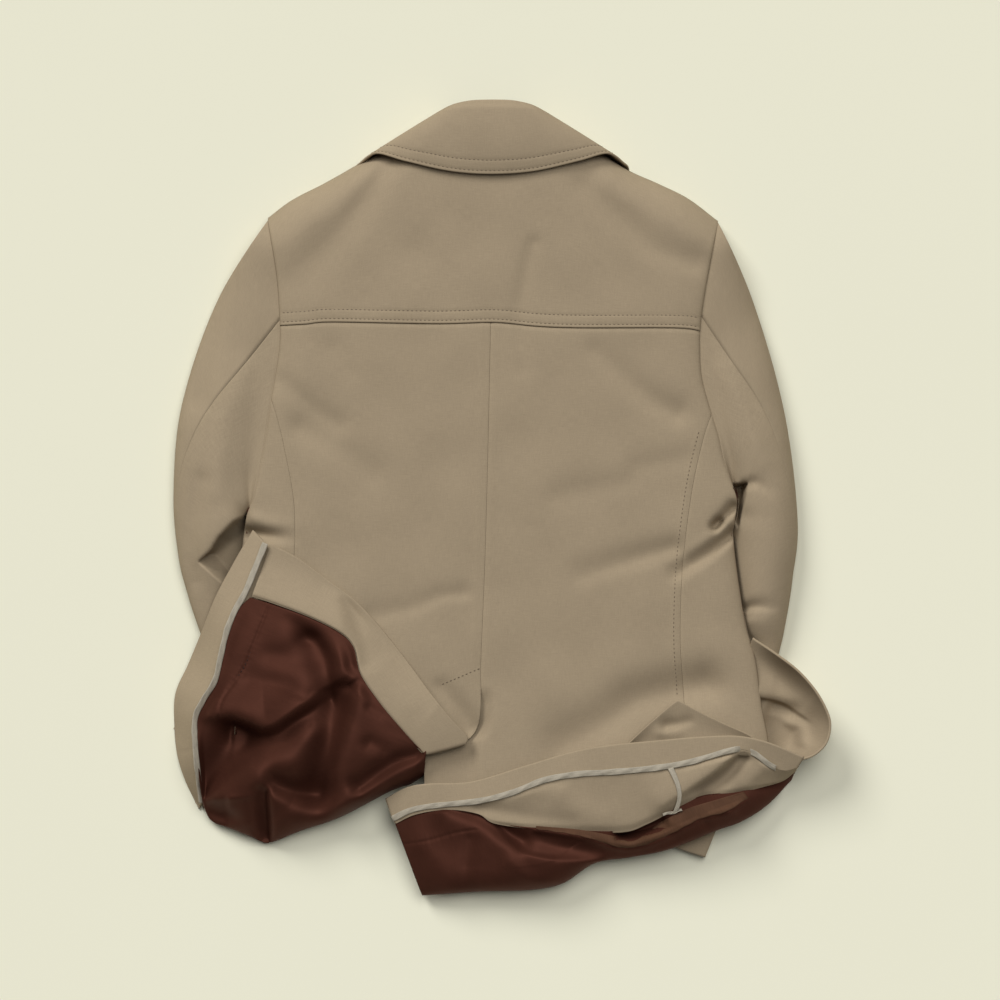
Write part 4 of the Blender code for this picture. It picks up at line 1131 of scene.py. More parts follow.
def front_points(table, side, lap):
    """A front panel: flat on the surface, lifted over the sleeve, curled up to meet the back at its edges."""
    across = np.concatenate([np.linspace(0.006, 0.08, 14)[:-1], np.linspace(0.08, 1.0, 40)])
    u, v = net(across, np.linspace(0.0, len(table) - 1.0, 110))
    rows = stations(table, v)
    x = rows[..., 0] + (rows[..., 2] - rows[..., 0]) * u
    y = rows[..., 1] + (rows[..., 3] - rows[..., 1]) * u
    line = SHOULDER_LEFT if side > 0 else SHOULDER_RIGHT
    first = table[0]
    straight = first[1] + (first[3] - first[1]) * (x - first[0]) / (first[2] - first[0])
    y = y + (column(line, x) - straight) * np.clip(1.0 - v, 0.0, 1.0)
    flat = under_sleeves(x, y) + lap * ease((92.0 - x) / 34.0)
    outer = column(EDGE_LEFT if side > 0 else EDGE_RIGHT, y)
    off, past, _ = nearest(x, y, line)
    low = y < 60.0
    below = np.where(low, ease((-4.0 - y) / 30.0), 0.0)
    reach = np.where(low, side * (x - outer), np.hypot(off, past))
    shoulder = SHOULDER_EDGE + folds(x, y, BACK_FOLDS) + lie(x, y)
    edge = np.where(low, flat + (side_edge(y) - flat) * below, shoulder)
    curl = 1.0 - roll(reach - SHOULDER_SLACK, FRONT_CURL)
    z = flat + np.maximum(edge - 1.2 - 0.8 * below - flat, 0.0) * curl
    crease = 0.5 * (1.0 - curl) * (lie(x, y, 0.8) + 0.8) * ease((z - 1.0) / 3.0)
    return stacked(x, y, z + crease)


def sleeve_points(table, armhole, edge, side, upper, creases, dent):
    """One half of a sleeve: rings from armhole to cuff, flat underneath, tucked under the body below."""
    length = 118 if upper else 190
    count = len(table) - 1
    even = np.linspace(0.12, count - 0.02, length)
    steps = np.concatenate([np.linspace(0.0, 0.12, 8)[:-1], even, [count]])
    if upper:
        across = np.concatenate([[0.0, 0.012, 0.03], np.linspace(0.05, 0.30, 20),
                                 np.linspace(0.31, 0.42, 16)[1:], np.linspace(0.42, 1.0, 30)[1:]])
    else:
        across = np.concatenate([[0.0, 0.006, 0.015, 0.03], np.linspace(0.045, 0.94, 60),
                                 np.linspace(0.95, 1.0, 8)])
    u, v = net(across, steps)
    rows = stations(table, v)
    share_of_seam = np.clip(rows[..., 6], 0.005, 0.5)
    start = np.arccos(1.0 - 2.0 * share_of_seam)
    if upper:
        turn = np.where(u < 0.3, start * (1.0 - u / 0.3), -math.pi * (u - 0.3) / 0.7)
    else:
        turn = start + (math.pi - start) * u
    share = (1.0 - np.cos(turn)) / 2
    follow = np.clip(rows[..., 7], 0.0, 1.0)
    hole = smooth(armhole, share)
    hole[..., 0] = column(edge, hole[..., 1])
    first = np.array(table[0], dtype=float)
    hole_x = hole[..., 0] - (first[0] + (first[2] - first[0]) * share)
    hole_y = hole[..., 1] - (first[1] + (first[3] - first[1]) * share)
    x = rows[..., 0] + (rows[..., 2] - rows[..., 0]) * share + (hole_x - side * 0.05) * follow
    y = rows[..., 1] + (rows[..., 3] - rows[..., 1]) * share + hole_y * follow
    half = SLEEVE_UNDER_BODY / 2
    round_off = np.abs(np.sin(turn))
    puff = np.maximum(rows[..., 4], 0.0)
    tuck = np.clip(rows[..., 5], 0.1, 1.0)
    puffed = puff * np.clip(np.sin(math.pi * np.minimum(share / tuck, 1.0)), 0.0, 1.0) ** 0.5
    top = half * (1.0 + round_off ** 0.5) + puffed
    seam = np.minimum(back_surface(x + side * 0.2, y), ARMHOLE_EDGE + 2.0)
    at_hole = half + (seam - half) * np.minimum(round_off * 9.0, 1.0)
    held = ease((follow - 0.55) / 0.45)
    top = top + (at_hole - top) * held
    top += folds(x, y, creases) * ease(round_off * 1.6) * (1.0 - held) + lie(x, y, 0.4) * (1.0 - held)
    *outline, back_x, back_y = dent
    sunk = hollow(x, y, *outline) * (turn > 0)
    top -= sunk
    from_hole = np.hypot(x - hole[..., 0], y - hole[..., 1])
    top -= seam_dip(np.where(held > 0.9, from_hole, 9.0))
    wide = np.hypot(rows[..., 2] - rows[..., 0], rows[..., 3] - rows[..., 1])
    beside = np.abs(share - share_of_seam) * wide
    top -= np.where(share_of_seam > 0.03, 0.3 * seam_dip(beside), 0.0)
    top = np.maximum(top, half * (1.0 + round_off ** 0.5) - 9.0)
    z = np.where(turn < 0, half * (1.0 - round_off ** 0.4), top)
    if upper:
        z -= 1.2 * (u == 1.0)
    else:
        z += 1.2 * (u == 1.0)
    sunk = sunk * ease(side * (column(edge, y) - x) / 25.0)
    return stacked(x + back_x * sunk, y + back_y * sunk, np.maximum(z, 0.0))


def whole(half):
    """Both halves of a collar table, the right one mirrored about the middle of the neck."""
    rows = [list(row) for row in half]
    for row in reversed(half[:-1]):
        rows.append([2 * COLLAR_MIDDLE - row[0], row[1], row[2], 2 * COLLAR_MIDDLE - row[3], row[4], row[5]])
    return rows


def collar_width(u):
    """Width of the collar from the roll to its outer edge, u along it in rows of its table."""
    rows = stations(whole(COLLAR), u)
    return np.linalg.norm(rows[..., 3:6] - rows[..., 0:3], axis=-1)


def collar_place(u, v):
    """The collar's outer face: u along it in rows of its table, v from the roll to the outer edge."""
    rows = stations(whole(COLLAR), u)
    x, y, z = [rows[..., k] + (rows[..., k + 3] - rows[..., k]) * v for k in range(3)]
    back = ease((rows[..., 2] - 10.0) / 30.0)
    z = z + back * (COLLAR_CROWN * np.sin(math.pi * v) - 3.0 * (1.0 - ease(v / 0.10)))
    inside = (1.0 - v) * collar_width(u)
    for row in COLLAR_STITCH_ROWS:
        z = z - back * STITCH_DIP * np.exp(-((inside - row) / 1.2) ** 2)
    z = z + back * lie(x * 1.3, y * 1.3, 0.35)
    return stacked(x, y, z)


def collar_points():
    """The collar's grid: close rows near its stitched outer edge, then even ones up to the roll."""
    close = np.array(COLLAR_ROWS)
    count = 2 * len(COLLAR) - 2.0
    u, k = net(np.linspace(0.0, count, 220), np.arange(len(close) + 32))
    width = collar_width(u)
    share = np.clip((k - len(close) + 1) / 32.0, 0.0, 1.0)
    inside = close[np.minimum(k, len(close) - 1).astype(int)] + (width - close[-1]) * share
    points = turned(collar_place(u, 1.0 - inside / width), "first row", radius=1.1, reach=9.0)
    return turned(points, "last row", radius=3.0, reach=7.0)


def stand_points():
    """The stand that joins the collar to the neck of the yoke."""
    half = [(a, b, float(back_height(a, b - 0.5)), c, d, e) for a, b, c, d, e in STAND]
    rows = whole(half)
    u, v = net(np.linspace(0.0, len(rows) - 1.0, 70), np.linspace(0.0, 1.0, 16))
    rows = stations(rows, u)
    x, y, z = [rows[..., k] + (rows[..., k + 3] - rows[..., k]) * v for k in range(3)]
    return stacked(x, y, z)


def between(first, second, u, v, inset_first=0.0, inset_second=0.0):
    """Points of a strip that runs from one curve to another."""
    a = smooth(first, v)
    b = smooth(second, v)
    step = (b - a) / np.maximum(np.linalg.norm((b - a)[..., :2], axis=-1), 1e-6)[..., None]
    a = a + step * inset_first
    b = b - step * inset_second
    return a + (b - a) * u[..., None]


def vent_facing_points():
    """The facing of the left vent, from its folded edge up over the heap."""
    u, v = net(shares(60.0), np.linspace(0.0, 0.985, 130))
    place = between(VENT_EDGE_LEFT, FACING_LINE_LEFT, u, v, inset_first=1.8, inset_second=-1.5)
    x, y = parts(place)
    heap = flap_height(x, y)
    laid = back_height(x, y) + FACING_REST + FACING_LIFT * ease((v - 0.55) / 0.35)
    z = np.minimum(laid, heap) + np.maximum(heap - laid, 0.0) * ease(u)
    z += folds(x, y, FACING_FOLDS_LEFT) * ease(u * 4.0) + lie(x, y, 0.3)
    z -= 2.0 * ease((u - 0.94) / 0.06)
    points = turned(stacked(x, y, z), "last row", radius=4.2, reach=7.0, steps=8)
    return turned(points, "first column", radius=1.2, reach=9.0)


def hem_fall_left(u, v):
    """How far the left hem falls away from the heap towards its fold."""
    brim = HEM_FALL_ABOVE + (HEM_FALL_BELOW - HEM_FALL_ABOVE) * ease((v - 0.2) / 0.3)
    brim = brim * (1.0 - 0.6 * ease((v - 0.7) / 0.3))
    return brim * (1.0 - u) ** 1.1 + HEM_FALL_FOOT * ease((v - 0.82) / 0.18)


def hem_facing_left_points():
    """The left hem facing, from its fold to the tape, with the side seam across it."""
    u, v = net(shares(32.0, step=1.6), np.linspace(0.0, 1.0, 150))
    place = between(HEM_EDGE_LEFT, TAPE_LINE_LEFT, u, v, inset_first=1.8, inset_second=-1.0)
    x, y = parts(place)
    side_seam = np.exp(-((v - 0.80) / 0.004) ** 2)
    z = flap_height(x, y) + lie(x, y, 0.5) - 0.6 * side_seam - 1.2 * ease((u - 0.9) / 0.1)
    z -= hem_fall_left(u, v)
    under = 2.0 + 14.0 * ease((0.98 - v[:, 0]) / 0.15)
    return turned(stacked(x, y, z), "first column", radius=1.3, reach=under)


def tape_left_points():
    """The left tape, which tilts away from the eye towards its foot."""
    u, v = net(np.linspace(0.0, 1.0, 7), np.linspace(0.0, 1.0, 170))
    at = smooth(TAPE_LINE_LEFT, v)
    ahead = smooth(TAPE_LINE_LEFT, np.minimum(v + 0.01, 1.0))
    run = ahead - smooth(TAPE_LINE_LEFT, np.maximum(v - 0.01, 0.0))
    side = np.stack([run[..., 1], -run[..., 0]], axis=-1) / np.hypot(run[..., 0], run[..., 1])[..., None]
    width = sizes().tape_width / MM * (1.0 + 0.05 * np.sin(v * 61.0))
    tilt = TAPE_TILT * ease((v - 0.1) / 0.4)
    x = at[..., 0] + side[..., 0] * width * np.cos(tilt) * (u - 0.5)
    y = at[..., 1] + side[..., 1] * width * np.cos(tilt) * (u - 0.5)
    z = flap_height(at[..., 0], at[..., 1]) + 1.8 - HEM_FALL_FOOT * ease((v - 0.82) / 0.18)
    z += width * np.sin(tilt) * (u - 0.5) + lie(x, y, 0.5)
    return stacked(x, y, z + 0.12 * np.sin(math.pi * u) + 0.2 * np.sin(v * 97.0 + 5.0 * u))


def tape_right_points():
    """The right tape, laid on the edge of the facing and the shell's inside."""
    width = sizes().tape_width / MM
    u, v = net(np.linspace(0.0, 1.0, 9), np.linspace(0.0, TAPE_END_RIGHT, 230))
    hem = smooth(HEM_EDGE_RIGHT, v)
    line = smooth(TAPE_LINE_RIGHT, v)
    top = smooth(LINING_TOP_RIGHT, v)
    off = width * (u - 0.5) * (1.0 + 0.05 * np.sin(v * 71.0))
    towards_hem = (hem - line) / np.linalg.norm((hem - line)[..., :2], axis=-1)[..., None]
    towards_lining = (top - line) / np.maximum(np.linalg.norm((top - line)[..., :2], axis=-1), 6.0)[..., None]
    step = np.where((off < 0)[..., None], towards_hem, towards_lining)
    place = line + step * np.abs(off)[..., None]
    x, y, z = parts(place)
    z = z + lie(x, y, 0.5) + 1.2 + 0.12 * np.sin(math.pi * u) + 0.2 * np.sin(v * 131.0 + 5.0 * u)
    z = z - TAPE_HIDDEN[1] * np.exp(-((x - TAPE_HIDDEN[0]) / TAPE_HIDDEN[2]) ** 2)
    return stacked(x, y, z + np.maximum(folds(x, y, INSIDE_FOLDS_RIGHT), 0.0) * 0.5)


def rolled(v, length):
    """Distance from the brim and share of the fall of cloth that rolls over and under its brim."""
    turn = np.maximum(v - ROLL_SHARE, 0.0) / (1.0 - ROLL_SHARE) * ROLL_UNDER
    flat = length - (length - LINING_ROLL) * v / ROLL_SHARE
    away = np.where(v < ROLL_SHARE, flat, LINING_ROLL * (1.0 - np.sin(turn)))
    return away, (1.0 - np.cos(turn)) / (1.0 - math.cos(ROLL_UNDER))


def lining_left_place(u, v):
    """The lining of the left skirt: from the facing and tape lines over the heap and under at its foot."""
    top = smooth(FACING_LINE_LEFT, u)
    low = smooth(LINING_FOOT_LEFT, u)
    length = np.linalg.norm(low - top, axis=-1)
    away, fall = rolled(v, length)
    down = 1.0 - away / length
    left = smooth(LINING_SIDE_LEFT, down)
    corner = np.array(FACING_LINE_LEFT[0], dtype=float)
    foot = np.array(LINING_FOOT_LEFT[0], dtype=float)
    straight = corner + (foot - corner) * down[..., None]
    place = top + (low - top) * down[..., None] + (left - straight) * (1.0 - u[..., None])
    x, y = parts(place)
    return x, y, FLAP_FLOOR + (flap_height(x, y) - FLAP_FLOOR) * (1.0 - fall)


def body_below(x, y):
    """Height of the back and side panels under the left skirt, or of the surface beyond them."""
    reach = ease((x - column(EDGE_LEFT, y) + 8.0) / 8.0) * ease((y + 268.0) / 10.0)
    return back_surface(x, y) * reach


def puckers(x, y, line, count, reach, depth):
    """Small gathers that a row of hand stitches draws across itself."""
    off, past, share = nearest(x, y, line, 160)
    beat = np.sin(share * count * 2.0 * math.pi) + 0.6 * np.sin(share * count * 3.7 + 1.3)
    gather = depth * beat * np.exp(-(off / reach) ** 2 - (past / 4.0) ** 2)
    return gather - 0.8 * np.exp(-(off / 1.4) ** 2 - (past / 3.0) ** 2)


def lining_left_points():
    """The creased left lining, held just clear of the body under it."""
    down = np.concatenate([np.linspace(0.0, 0.80, 125), np.linspace(0.803, 1.0, 60)])
    u, v = net(np.linspace(0.0, 1.0, 205), down)
    x, y, z = lining_left_place(u, v)
    edge = ease(v / 0.10) * ease((1.0 - u) / 0.05) * ease(u / 0.05)
    foot = ease((1.0 - v) / 0.16)
    z = z + folds(x, y, LINING_FOLDS_LEFT) * edge * foot
    z += puckers(x, y, LINING_HEM_LINE_LEFT, count=23, reach=5.0, depth=0.12) * ease(v / 0.04)
    z += lie(x * 2.2, y * 2.2, 0.3) * edge
    least = body_below(x, y) + 1.0
    return stacked(x, y, (z + least + np.hypot(z - least, 4.0)) / 2 - 0.6)


def shell_turned_left_points():
    """The shell of the left skirt under its lining: from the hem fold to beside the vent."""
    u, v = net(np.linspace(0.0, 0.72, 50), np.linspace(0.02, 1.0, 70))
    place = between(HEM_EDGE_LEFT, VENT_EDGE_LEFT, u, v, inset_first=6.0)
    x, y = parts(place)
    sunk = np.minimum(folds(x, y, LINING_FOLDS_LEFT), 0.0)
    z = flap_height(x, y) - 6.0 - 6.0 * ease((u - 0.1) / 0.5) + sunk
    z -= hem_fall_left(np.minimum(u * 6.0, 1.0), v)
    return stacked(x, y, np.maximum(z, np.minimum(body_below(x, y) - 3.0, z + 4.0)))


def pressed(x):
    """How far the right hem is pressed in along the seam under it."""
    return sum(np.exp(-((x - line) / 0.9) ** 2) for line in PRESSED_LINES)


def hem_facing_right_points():
    """The right hem facing, from its fold to the tape."""
    u, v = net(shares(28.0, step=1.7), np.linspace(0.0, 1.0, 190))
    place = between(HEM_EDGE_RIGHT, TAPE_LINE_RIGHT, 0.05 + 0.95 * u, v)
    x, y, z = parts(place)
    z = z + lie(x, y, 0.5) - 0.35 * pressed(x)
    under = 2.0 + 16.0 * ease((0.99 - v[:, 0]) / 0.12)
    return turned(stacked(x, y, z), "first column", radius=1.3, reach=under)


def shell_inside_points():
    """The wrong side of the right shell, from the tape to the lining."""
    u, v = net(shares(48.0, step=1.8), np.linspace(0.0, 1.0, 190))
    place = between(TAPE_LINE_RIGHT, LINING_TOP_RIGHT, 0.01 + 1.02 * u, v)
    x, y, z = parts(place)
    z = z + folds(x, y, INSIDE_FOLDS_RIGHT) * ease(u * 5.0) + lie(x, y, 0.5) - 0.3 * pressed(x)
    z -= 2.4 * ease((u - 0.86) / 0.14) * ease((v - 0.2) / 0.1)
    return stacked(x, y, z)


def lining_right_place(u, v):
    """The lining of the right skirt: from the shell's inside down to the surface at its fold."""
    a = smooth(LINING_TOP_RIGHT, v)
    b = smooth(LINING_FOOT_RIGHT, v)
    length = np.maximum(np.linalg.norm((b - a)[..., :2], axis=-1), LINING_ROLL * 0.3)
    away, fall = rolled(u, np.maximum(length, LINING_ROLL))
    down = 1.0 - np.minimum(away, np.where(u < 0.0, 1e9, length)) / length
    place = a + (b - a) * down[..., None]
    z = b[..., 2] + (a[..., 2] - b[..., 2] - 4.0 * np.clip(down, 0.0, 1.0)) * (1.0 - fall)
    return place[..., 0], place[..., 1], z


def lining_right_points():
    """The creased right lining, rolled under at its foot."""
    down = np.concatenate([np.linspace(-0.06, 0.72, 48), np.linspace(0.735, 1.0, 30)])
    u, v = net(down, np.linspace(0.0, 1.0, 230))
    x, y, z = lining_right_place(u, v)
    foot = 0.25 + 0.75 * ease((1.0 - u) / 0.25)
    z = z + folds(x, y, LINING_FOLDS_RIGHT) * foot * ease(u / 0.06 + 0.3)
    z += puckers(x, y, LINING_HEM_LINE_RIGHT, count=15, reach=6.0, depth=0.15)
    z += lie(x * 2.0, y * 2.0, 0.3) * foot
    z -= 3.0 * ease((0.02 - u) / 0.06) + 0.4
    return stacked(x, y, np.maximum(z, 1.2))


def height_on_right_lining(x, y):
    """Height of the right lining under a plan point, found along its own strips."""
    u, v = net(np.linspace(0.0, 1.0, 31), np.linspace(0.0, 1.0, 121))
    px, py, pz = lining_right_place(u, v)
    pz = pz + folds(px, py, LINING_FOLDS_RIGHT)
    points = np.stack([px.ravel(), py.ravel()], axis=-1)
    heights = np.empty(np.shape(x))
    for index in np.ndindex(np.shape(x)):
        gap = np.hypot(points[:, 0] - x[index], points[:, 1] - y[index])
        close = np.argsort(gap)[:4]
        weight = 1.0 / (gap[close] + 0.3)
        heights[index] = np.sum(pz.ravel()[close] * weight) / weight.sum()
    return heights


def reverse_strip_points():
    """The loose hem of the right lining, which shows the back of the satin."""
    u, v = net(np.linspace(0.0, 1.0, 14), np.linspace(0.0, 1.0, 90))
    place = between(REVERSE_TOP_RIGHT, REVERSE_FOOT_RIGHT, u, v)
    x = place[..., 0]
    y = place[..., 1] - 0.3 * np.sin(v * 90.0) * u
    z = height_on_right_lining(x, y) + 1.1 + 1.6 * np.sin(math.pi * u) * np.sin(math.pi * v)
    return stacked(x, y, z)


def shell_turned_right_points():
    """The shell of the right skirt under its facing and inside: from the hem fold to the lower fold."""
    u, v = net(np.linspace(0.0, 1.0, 40), np.linspace(0.03, 0.97, 110))
    a = smooth(HEM_EDGE_RIGHT, v)
    b = smooth(LINING_FOOT_RIGHT, v)
    place = a + (b - a) * (0.06 + 0.80 * u[..., None])
    x, y, z = parts(place)
    lowered = 5.0 + 9.0 * np.sin(math.pi * u)
    low = back_height(x, y) * ease((y + 305.0) / 12.0) * ease((268.0 - x) / 12.0) + 1.2
    return stacked(x, y, np.maximum(a[..., 2] - lowered - (a[..., 2] - b[..., 2] - 8.0) * u, low))


def loop_points():
    """The right side hem that stands out as a loop, hollow side up."""
    u, v = net(shares(70.0, step=2.0), np.linspace(0.0, 1.0, 120))
    place = between(LOOP_HEM, LOOP_FOOT, 0.02 + 0.98 * u, v)
    x, y, z = parts(place)
    sag = LOOP_SAG * np.sin(math.pi * u ** 0.8) * ease((1.0 - v) / 0.45)
    z = z - sag + folds(x, y, LOOP_FOLDS) + lie(x, y, 0.4)
    over_arm = ease((column(FOREARM_EDGE, y) - x) / FOREARM_SLOPE + 1.0)
    least = LOOP_FLOOR + (FOREARM_TOP - LOOP_FLOOR) * over_arm
    z = (z + least + np.hypot(z - least, 5.0)) / 2
    return turned(stacked(x, y, z), "first column", radius=1.3, reach=14.0)


def loop_facing_points():
    """The outer side of the loop, from under its rim down to the surface."""
    u, v = net(np.linspace(0.0, 1.0, 18), np.linspace(0.0, 0.85, 90))
    a = smooth(LOOP_HEM, v)
    b = smooth(LOOP_FOOT, v)
    inward = (b - a)[..., :2]
    inward = inward / np.linalg.norm(inward, axis=-1)[..., None]
    x = a[..., 0] + inward[..., 0] * (1.0 + 11.0 * u)
    y = a[..., 1] + inward[..., 1] * (1.0 + 11.0 * u)
    z = a[..., 2] - LOOP_TURN + (LOOP_FLOOR - a[..., 2] + LOOP_TURN) * u
    return stacked(x, y, z + 1.2 * np.sin(math.pi * u) * np.sin(v * 30.0))


def corner_points():
    """The corner of the right hem that is doubled under and lies on the back."""
    u, v = net(np.linspace(0.0, 1.0, 30), np.linspace(0.0, 1.0, 80))
    place = between(CORNER_EDGE, CORNER_FOOT, u, v)
    x, y, z = parts(place)
    z = z - CORNER_SAG * np.sin(math.pi * u) + folds(x, y, CORNER_FOLDS)
    z = np.maximum(z, back_surface(x, y) + 1.8)
    return turned(stacked(x, y, z), "first column", radius=0.7, reach=9.0)


def tack_share():
    """Where along the right skirt the ribbon tack hangs."""
    along = np.linspace(0.5, 0.9, 81)
    half = np.full(along.shape, 0.5)
    middle = between(TAPE_LINE_RIGHT, LINING_TOP_RIGHT, half, along)
    return float(np.interp(TACK_X, middle[:, 0], along))


def tack_points():
    """The ribbon tack, bowed between the tape and the lining."""
    u, v = net(np.linspace(0.0, 1.0, 6), np.linspace(0.0, 1.0, 40))
    place = between(TAPE_LINE_RIGHT, LINING_TOP_RIGHT, 0.06 + v, np.full(v.shape, tack_share()))
    bow = TACK_BOW * np.sin(math.pi * v * 0.9)
    width = TACK_WIDTH * (1.0 - 0.25 * np.sin(math.pi * v))
    x = place[..., 0] - 3.0 + bow + 8.0 * v - 4.0 * v ** 3 + width * (u - 0.5)
    y = place[..., 1] + 1.5 * (u - 0.5)
    z = place[..., 2] + 2.2 + 5.0 * np.sin(math.pi * v)
    z += 0.8 * np.cos(math.pi * u) * np.sin(math.pi * v * 2.0)
    return stacked(x, y, z)


def tab_points():
    """The tab that holds the tack to the lining."""
    u, v = net(np.linspace(0.0, 1.0, 12), np.linspace(0.0, 1.0, 10))
    x, y, z = lining_right_place(0.02 + 0.20 * v, np.full(v.shape, tack_share()))
    x = x + TAB_WIDTH * (u - 0.5)
    y = y + 5.0 * (u - 0.5) + 0.6 * np.sin(u * 9.0)
    return stacked(x, y, z + 2.6 + 0.7 * np.sin(u * 7.0 + v * 2.0))


class COAT_OT_back(bpy.types.Operator):
    """Make the yoke, the back panels and the side panels"""

    bl_idname = "coat.back"
    bl_label = "Back and Yoke"

    def execute(self, context):
        cloth_piece("back_yoke", yoke_points(), shell(), sizes().shell_wall,
                    inside=lining_satin())
        back_panels()
        return {"FINISHED"}


class COAT_OT_fronts(bpy.types.Operator):
    """Make the two fronts, which lie on the surface under the back"""

    bl_idname = "coat.fronts"
    bl_label = "Fronts"

    def execute(self, context):
        for name, table, side, lap in (
                ("front_left", FRONT_LEFT, 1, 0.0),
                ("front_right", FRONT_RIGHT, -1, FRONT_LAP)):
            cloth_piece(name, front_points(table, side, lap), shell(), sizes().shell_wall,
                        inside=lining_satin(), face_up=False)
        return {"FINISHED"}


class COAT_OT_sleeves(bpy.types.Operator):
    """Make both two-piece sleeves"""

    bl_idname = "coat.sleeves"
    bl_label = "Sleeves"

    def execute(self, context):
        wall = sizes().shell_wall
        inside = lining_satin()
        for name, table, armhole, edge, side, creases, dent in (
                ("sleeve_left", SLEEVE_LEFT, ARMHOLE_LEFT, EDGE_LEFT, 1, SLEEVE_FOLDS_LEFT, HOLLOW_LEFT),
                ("sleeve_right", SLEEVE_RIGHT, ARMHOLE_RIGHT, EDGE_RIGHT, -1, SLEEVE_FOLDS_RIGHT,
                 HOLLOW_RIGHT)):
            under = sleeve_points(table, armhole, edge, side, False, creases, dent)
            cloth_piece(name + "_under", under, shell(), wall, inside=inside)
            upper = sleeve_points(table, armhole, edge, side, True, creases, dent)
            cloth_piece(name + "_upper", upper, shell(), wall, inside=inside, face_up=False)
        return {"FINISHED"}


class COAT_OT_collar(bpy.types.Operator):
    """Make the collar and its stand"""

    bl_idname = "coat.collar"
    bl_label = "Collar"

    def execute(self, context):
        cloth_piece("collar_fall", collar_points(), shell(), sizes().collar_wall)
        cloth_piece("collar_stand", stand_points(), shell(), sizes().shell_wall)
        return {"FINISHED"}


class COAT_OT_left_skirt(bpy.types.Operator):
    """Make the left skirt: its facings, tape, lining and the shell under them"""

    bl_idname = "coat.left_skirt"
    bl_label = "Left Skirt"

    def execute(self, context):
        wall = sizes().shell_wall
        ribbon = sizes().tape_wall
        satin = sizes().lining_wall
        cloth_piece("vent_facing_left", vent_facing_points(), shell(), wall)
        sewn = cloth_piece("hem_tape_left", tape_left_points(), tape(), ribbon)
        cloth_piece("hem_facing_left", hem_facing_left_points(), shell(), wall)
        cloth_piece("lining_left", lining_left_points(), lining(), satin)
        cloth_piece("shell_turned_left", shell_turned_left_points(), shell(), wall,
                    nodes=("skirt_layers_left",))
        return {"FINISHED"}


class COAT_OT_right_skirt(bpy.types.Operator):
    """Make the right skirt: its facing, tape, inside, ribbon tack, lining and the shell under them"""

    bl_idname = "coat.right_skirt"
    bl_label = "Right Skirt"

    def execute(self, context):
        wall = sizes().shell_wall
        ribbon = sizes().tape_wall
        satin = sizes().lining_wall
        sewn = cloth_piece("hem_tape_right", tape_right_points(), tape(), ribbon)
        cloth_piece("hem_facing_right", hem_facing_right_points(), shell(), wall)
        cloth_piece("shell_inside_right", shell_inside_points(), shell(), wall)
        tack = cloth_piece("lining_tack", tack_points(), tape(), ribbon)
        tab = cloth_piece("tack_tab", tab_points(), tape(), ribbon)
        cloth_piece("lining_right", lining_right_points(), lining(), satin)
        cloth_piece("lining_hem_right", reverse_strip_points(), lining_back(), satin)
        cloth_piece("shell_turned_right", shell_turned_right_points(), shell(), wall,
                    nodes=("skirt_layers_right",))
        return {"FINISHED"}


class COAT_OT_right_trim(bpy.types.Operator):
    """Make the loop of the right side hem and the tucked corner"""

    bl_idname = "coat.right_trim"
    bl_label = "Right Hem Loop and Corner"

    def execute(self, context):
        wall = sizes().shell_wall
        cloth_piece("side_hem_right", loop_points(), shell(), wall)
        cloth_piece("side_hem_facing_right", loop_facing_points(), shell(), wall)
        cloth_piece("hem_corner_right", corner_points(), shell(), CORNER_WALL)
        return {"FINISHED"}


class COAT_OT_stitching(bpy.types.Operator):
    """Sew the rows of stitching that show"""

    bl_idname = "coat.stitching"
    bl_label = "Stitching"

    def execute(self, context):
        taupe = finished("taupe_thread", paint_thread, colours().shell_thread)
        brown = finished("brown_thread", paint_thread, scaled(colours().lining, 0.35))
        even = np.linspace(0.0, 1.0, 260)
        rows = []
        for row in YOKE_STITCH_ROWS:
            x = YOKE_STITCH_ENDS[0] + (YOKE_STITCH_ENDS[1] - YOKE_STITCH_ENDS[0]) * even
            y = column(YOKE_SEAM, x) + row
            rows.append(stacked(x, y, back_surface(x, y) + 0.4 - STITCH_DIP + STITCH_PROUD))
        stitch_piece("yoke_stitching", rows, taupe)
        rows = []
        for row in COLLAR_STITCH_ROWS:
            u = np.linspace(COLLAR_STITCH_START, 2 * len(COLLAR) - 2 - COLLAR_STITCH_START, 260)
            rows.append(collar_place(u, 1.0 - row / collar_width(u)) + np.array([0.0, 0.0, STITCH_PROUD]))
        stitch_piece("collar_stitching", rows, taupe)
        high, low, aside = SEAM_STITCH
        y = np.linspace(high, low, 200)
        x = column(SEAM_RIGHT, y) - aside
        rows = [stacked(x, y, back_surface(x, y) + 0.35)]
        x, y = parts(smooth(VENT_STITCH, even))
        rows.append(stacked(x, y, back_surface(x, y) + 0.25))
        stitch_piece("back_stitching", rows, taupe)
        x, y = parts(smooth(LINING_HEM_LINE_LEFT, even))
        rows = [stacked(x, y, flap_height(x, y) - 1.2)]
        stitch_piece("lining_stitching", rows, brown, length=0.0030)
        return {"FINISHED"}


